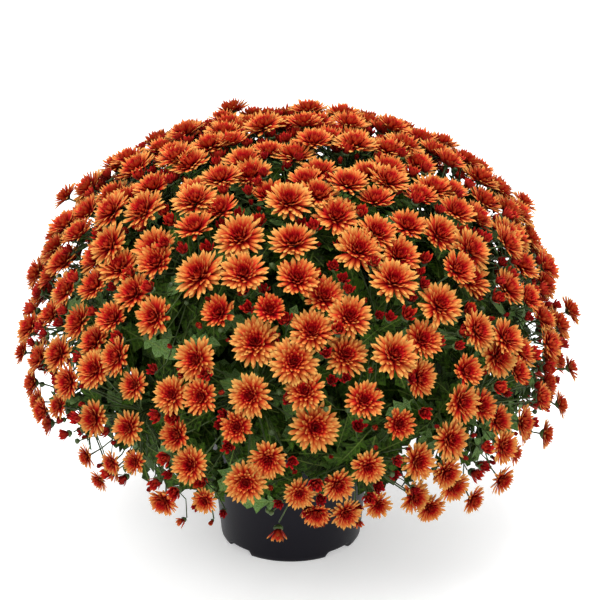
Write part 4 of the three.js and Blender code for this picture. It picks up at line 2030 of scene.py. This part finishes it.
    def points(self, spray: Spray) -> bpy.types.Mesh:
        """The lines, leaf points and cup points of a spray as one mesh of points and edges.

        Args:
            spray: The spray.

        Returns:
            The mesh, whose points carry what the trees need.
        """
        draws = Draws(self.seed + self.seed_step * spray.number)
        flowers = [*spray.blooms, *spray.buds]
        stem = self._stem(spray)
        stalks = [self._stalk(spray, bloom, draws) for bloom in flowers]
        marks: list[Mark] = []
        edges: list[tuple[int, int]] = []
        for line in (stem, *stalks):
            edges += [(len(marks) + i, len(marks) + i + 1) for i in range(len(line) - 1)]
            marks += line
        knots = [mark.place for stalk in stalks for mark in stalk[:-1]]
        knots += [mark.place for mark in stem[self.lowest_knot :]]
        leaves = self._inner_leaves(spray, draws)
        leaves += self._canopy_leaves(spray, np.array(knots), draws)
        marks += [self._leaf_mark(leaf, draws) for leaf in leaves]
        for bloom in flowers:
            shape = {Stage.OPEN: 0, Stage.GREEN_BUD: 2}.get(bloom.stage, 1)
            size = (bloom.radius,) * 3
            marks.append(Mark(bloom.centre, Part.CUP, faced(bloom.facing), size, shape, tint=draws.next()))
        mesh = mesh_of("leafy_points", [mark.place for mark in marks], [], edges)
        keep(mesh, "part", (mark.part.value for mark in marks), "INT")
        keep(mesh, "facing", (tuple(mark.facing) for mark in marks), "QUATERNION")
        keep(mesh, "size", (mark.size for mark in marks), "FLOAT_VECTOR")
        keep(mesh, "shape", (mark.shape for mark in marks), "INT")
        keep(mesh, "thick", (mark.thick for mark in marks))
        keep(mesh, "tint", (mark.tint for mark in marks))
        return mesh

    def build(self) -> None:
        """Makes one leafy piece for each spray."""
        leaf, stalk = self.leaf_finish.material(), self.stalk_finish.material()
        kinds = [*self.small_leaves(), *self.full_leaves()]
        leaves = collection_of("leaf", [kind.mesh(f"leaf_{i}") for i, kind in enumerate(kinds)])
        cups = collection_of("cup", [cup.mesh(f"cup_{i}") for i, cup in enumerate(self.cups())])
        leaf_tree, stalk_tree = self.leaf_tree(), self.stalk_tree()
        for spray in self.sprays:
            points = self.points(spray)
            blades = leaf_tree.run(points, {"Shapes": leaves, "Material": leaf})
            stalks = stalk_tree.run(points, {"Shapes": cups, "Sides": self.sides, "Material": stalk})
            name = f"{spray.number + 1:02d}"
            mesh = joined([blades, stalks])
            finished_piece(f"leafy_spray_{name}", mesh, Slot.LEAF, [f"leafy_stem_{name}"])
        clear_collection(leaves)
        clear_collection(cups)


# ---- pot and soil


@dataclass
class Pot:
    """The nursery pot: a tapered wall with a band round its rim and drain notches in its foot."""

    base_radius: float = 0.080
    rim_radius: float = 0.093
    height: float = 0.142
    wall: float = 0.002
    floor: float = 0.009
    lip_drop: float = 0.014
    lip_out: float = 0.003
    notches: int = 4
    notch_turn: float = math.radians(-137)
    notch_width: float = 0.034
    notch_height: float = 0.007
    notch_depth: float = 0.009
    notch_flank: float = 0.0024
    notch_back: float = 0.003
    sides: int = 160
    # The foot from the middle outwards: how far in from the base radius, and the height.
    foot: tuple[Ends, ...] = ((0.012, 0.0), (0.009, 0.0), (0.003, 0.0), (0.0012, 0.0006))
    foot_round: Ends = (0.0002, 0.0026)
    foot_top: float = 0.006
    wall_rows: int = 12
    wall_rows_from: float = 0.0085
    # The lip's step out of the band and its rounded top: how far in from its radius, and up or down.
    lip_step: tuple[Ends, ...] = ((0.0006, 0.0022), (0.0, 0.0032))
    lip_top: tuple[Ends, ...] = ((0.0, 0.0012), (0.0005, 0.0003), (0.0014, 0.0))
    inner_top: tuple[Ends, ...] = ((0.0012, 0.0), (0.0, 0.001))
    inner_rows: int = 6
    inner_rows_from: float = 0.126
    floor_round: Ends = (0.002, 0.003)
    finish: PotFinish = PotFinish()

    def _radius(self, z: float) -> float:
        """The outer radius of the wall at a height."""
        return mix(self.base_radius, self.rim_radius, z / self.height)

    def _wall_section(self) -> list[Ends]:
        """The section of the outside, from the middle of the base up to the band.

        Returns:
            Radius and height of each point.
        """
        band = self.height - self.lip_drop
        rows = np.linspace(self.wall_rows_from, band - 0.002, self.wall_rows)
        inset, low = self.foot_round
        section = [(self.base_radius - inward, z) for inward, z in self.foot]
        section.append((self._radius(low) - inset, low))
        return section + [(self._radius(z), z) for z in (self.foot_top, *rows, band)]

    def _lip_section(self) -> list[Ends]:
        """The section of the lip, from the band over the rim to the inside.

        Returns:
            Radius and height of each point.
        """
        band = self.height - self.lip_drop
        rim, inside = self.rim_radius + self.lip_out, self.rim_radius - self.wall
        section = [(self._radius(band) + self.lip_out - inward, band + up) for inward, up in self.lip_step]
        section += [(rim - inward, self.height - down) for inward, down in self.lip_top]
        return section + [(inside + out, self.height - down) for out, down in self.inner_top]

    def _inner_section(self) -> list[Ends]:
        """The section of the inside, down to the floor.

        Returns:
            Radius and height of each point.
        """
        inset, above = self.floor_round
        rows = np.linspace(self.inner_rows_from, self.floor + above, self.inner_rows)
        section = [(self._radius(z) - self.wall, z) for z in rows]
        return section + [(self._radius(self.floor) - self.wall - inset, self.floor)]

    def _raised(self, radius: float, z: float, angle: float) -> float:
        """The height of a point of the section once the notches are cut.

        Args:
            radius: The point's distance from the axis.
            z: Its height on the uncut pot.
            angle: Its angle round the axis.

        Returns:
            Its height on the notched pot.
        """
        if z >= self.notch_height:
            return z
        step = 2 * math.pi / self.notches
        off = (angle - self.notch_turn + step / 2) % step - step / 2
        beyond = self.notch_width / 2 + self.notch_flank / 2 - abs(off) * self.base_radius
        inwards = radius - self.base_radius + self.notch_depth + 0.002
        return max(z, self.notch_height * held(beyond / self.notch_flank) * held(inwards / self.notch_back))

    def mesh(self) -> bpy.types.Mesh:
        """Turns the section round the axis and closes it at both poles.

        Returns:
            The closed mesh.
        """
        section = [*self._wall_section(), *self._lip_section(), *self._inner_section()]
        points = [
            place_at(radius, angle, self._raised(radius, z, angle))
            for radius, z in section
            for angle in ring_angles(self.sides)
        ]
        poles = (len(points), len(points) + 1)
        points += [(0.0, 0.0, 0.0), (0.0, 0.0, self.floor)]
        return mesh_of("pot", points, lathe_faces(0, len(section), self.sides, poles))

    def build(self) -> None:
        """Makes the pot."""
        mesh = self.mesh()
        mesh.materials.append(self.finish.material())
        finished_piece("pot_shell", mesh, Slot.POT, ["pot"])


@dataclass
class Soil:
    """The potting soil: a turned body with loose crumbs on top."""

    top: float = 0.128
    bottom: float = 0.00935
    top_radius: float = 0.0888
    bottom_radius: float = 0.0775
    rings: int = 16
    sides: int = 64
    relief: float = 0.0022
    crumb_kinds: int = 3
    crumb_sizes: Ends = (0.0009, 0.0030)
    crumb_flutes: Ends = (0.06, 0.16)
    crumb_flatness: float = 0.8
    crumb_turn: float = 6.28
    crumbs: float = 5000.0
    spread_seed: int = 3
    tree_seed: int = 21
    seed: int = 31
    finish: SoilFinish = SoilFinish()

    def body(self) -> bpy.types.Mesh:
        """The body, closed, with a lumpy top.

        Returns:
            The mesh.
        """
        draws = Draws(self.seed)
        points = [(0.0, 0.0, self.top)]
        for ring in range(1, self.rings + 1):
            radius = self.top_radius * ring / self.rings
            for angle in ring_angles(self.sides):
                lift = draws.centred(self.relief) if ring < self.rings else -self.relief / 2
                points.append(place_at(radius, angle, self.top + lift))
        points += [place_at(self.bottom_radius, angle, self.bottom) for angle in ring_angles(self.sides)]
        points.append((0.0, 0.0, self.bottom))
        poles = (0, len(points) - 1)
        return mesh_of("soil", points, lathe_faces(1, self.rings + 1, self.sides, poles, downwards=True))

    def crumb_shapes(self) -> list[CupShape]:
        """Uneven crumbs one unit in radius.

        Returns:
            The shapes.
        """
        draws = Draws(self.seed + 1)
        shapes = []
        for _ in range(self.crumb_kinds):
            profile = [(0.0, -0.8)]
            profile += [(draws.between(0.6, 0.9), -0.4), (draws.between(0.75, 1.0), 0.15)]
            profile += [(draws.between(0.35, 0.6), 0.6), (0.0, 0.75)]
            shapes.append(CupShape(tuple(profile), flute=draws.between(*self.crumb_flutes)))
        return shapes

    def tree(self) -> GeometryGraph:
        """The tree that scatters crumbs over the top of the body.

        Returns:
            The tree, which takes the body in.
        """
        graph = GeometryGraph("soil_crumbs", self.tree_seed)
        shapes = graph.input("Shapes", "Collection")
        density, material = graph.input("Density", "Float"), graph.input("Material", "Material")
        normal = graph.node("GeometryNodeInputNormal", {}, {})
        upward = graph.node("ShaderNodeSeparateXYZ", {}, {0: normal}, "Z") > 0.5
        where = {"Mesh": graph.geometry(), "Selection": upward, "Density": density, "Seed": self.spread_seed}
        points = graph.node("GeometryNodeDistributePointsOnFaces", {}, where)
        size = graph.random(*self.crumb_sizes)
        turns = [graph.random(0.0, self.crumb_turn) for _ in range(3)]
        scale = graph.vector(size, size, size * self.crumb_flatness)
        crumbs = graph.scatter(points, shapes, {"Rotation": graph.rotation(*turns), "Scale": scale})
        graph.end(graph.together(graph.geometry(), crumbs), material)
        return graph

    def build(self) -> None:
        """Makes the soil with its crumbs."""
        crumbs = [shape.mesh(f"crumb_{i}") for i, shape in enumerate(self.crumb_shapes())]
        shapes = collection_of("crumb", crumbs)
        inputs = {"Shapes": shapes, "Density": self.crumbs, "Material": self.finish.material()}
        mesh = self.tree().run(self.body(), inputs)
        finished_piece("potting_soil", mesh, Slot.SOIL, ["soil"])
        clear_collection(shapes)


# ---- studio


@dataclass
class Studio:
    """The pale floor, the soft lights and the camera."""

    floor_radius: float = 9.0
    floor_drop: float = 0.0002
    floor_sides: int = 96
    floor_finish: FloorFinish = FloorFinish()
    # Name, place, side and power of each light.
    lights: tuple[tuple[str, Point3, float, float], ...] = (
        ("key_light", (-1.4, -2.2, 2.6), 1.2, 38.0),
        ("fill_light", (2.2, -2.0, 1.2), 2.0, 16.0),
        ("top_light", (0.1, -0.2, 2.8), 1.4, 84.0),
    )
    light_aim: Point3 = (0.0, 0.0, 0.25)
    sky: float = 1.18
    aim: Point3 = (0.01042, 0.0, 0.28247)
    distance: float = 1.830
    elevation: float = math.radians(20.8)
    lens: float = 100.0
    sensor: float = 36.0

    def _hang(self, name: str, data: bpy.types.ID, place: Vector, along: Vector) -> bpy.types.Object:
        """Puts a light or a camera at a place.

        Args:
            name: Its name.
            data: The light or the camera.
            place: Where it hangs.
            along: The direction in which it looks.

        Returns:
            The object.
        """
        holder = bpy.data.objects.new(name, data)
        holder.location = place
        holder.rotation_euler = along.to_track_quat("-Z", "Y").to_euler()
        bpy.context.scene.collection.objects.link(holder)
        return holder

    def floor(self) -> None:
        """Lays a round floor under the pot."""
        sides, height = self.floor_sides, -self.floor_drop
        points = [(0.0, 0.0, height)]
        points += [place_at(self.floor_radius, angle, height) for angle in ring_angles(sides)]
        faces = [(0, 1 + side, 1 + (side + 1) % sides) for side in range(sides)]
        mesh = mesh_of("studio_floor", points, faces)
        mesh.materials.append(self.floor_finish.material())
        floor = bpy.data.objects.new("studio_floor", mesh)
        bpy.context.scene.collection.objects.link(floor)
        floor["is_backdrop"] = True

    def light(self, name: str, place: Vector, size: float, power: float) -> None:
        """Hangs one square soft light that points at the plant.

        Args:
            name: Its name.
            place: Where it hangs.
            size: Its side.
            power: Its power in watts.
        """
        lamp = bpy.data.lights.new(name, "AREA")
        lamp.shape, lamp.size, lamp.energy = "SQUARE", size, power
        self._hang(name, lamp, place, Vector(self.light_aim) - place)

    def camera(self) -> None:
        """Sets the camera square to the front, looking slightly down."""
        forward = Vector((0.0, math.cos(self.elevation), -math.sin(self.elevation)))
        data = bpy.data.cameras.new("front_camera")
        data.lens, data.sensor_width = self.lens, self.sensor
        place = Vector(self.aim) - forward * self.distance
        bpy.context.scene.camera = self._hang("front_camera", data, place, forward)

    def build(self) -> None:
        """Sets up the studio."""
        self.floor()
        for name, place, size, power in self.lights:
            self.light(name, Vector(place), size, power)
        world = bpy.data.worlds.new("studio_world")
        world.use_nodes = True
        ground = world.node_tree.nodes["Background"]
        ground.inputs["Color"].default_value = (1.0, 1.0, 1.0, 1.0)
        ground.inputs["Strength"].default_value = self.sky
        bpy.context.scene.world = world
        bpy.context.scene.view_settings.view_transform = "Standard"
        self.camera()


# ---- main


def main() -> None:
    """Builds the pot, the soil, the blooms, the foliage and the studio, in that order."""
    logging.basicConfig(level=logging.INFO, format="%(name)s %(message)s", stream=sys.stdout)
    sprays = Layout().spray_list()
    LOG.info(
        "%d sprays, %d open blooms, %d buds",
        len(sprays),
        sum(len(spray.blooms) for spray in sprays),
        sum(len(spray.buds) for spray in sprays),
    )
    Pot().build()
    Soil().build()
    BloomHeads(sprays).build()
    LeafySprays(sprays).build()
    Studio().build()
    boxes = {"cad": cad_box, "visual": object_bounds()}
    {name: [list(corner) for corner in box] for name, box in boxes.items()}


if __name__ == "__main__":
    main()
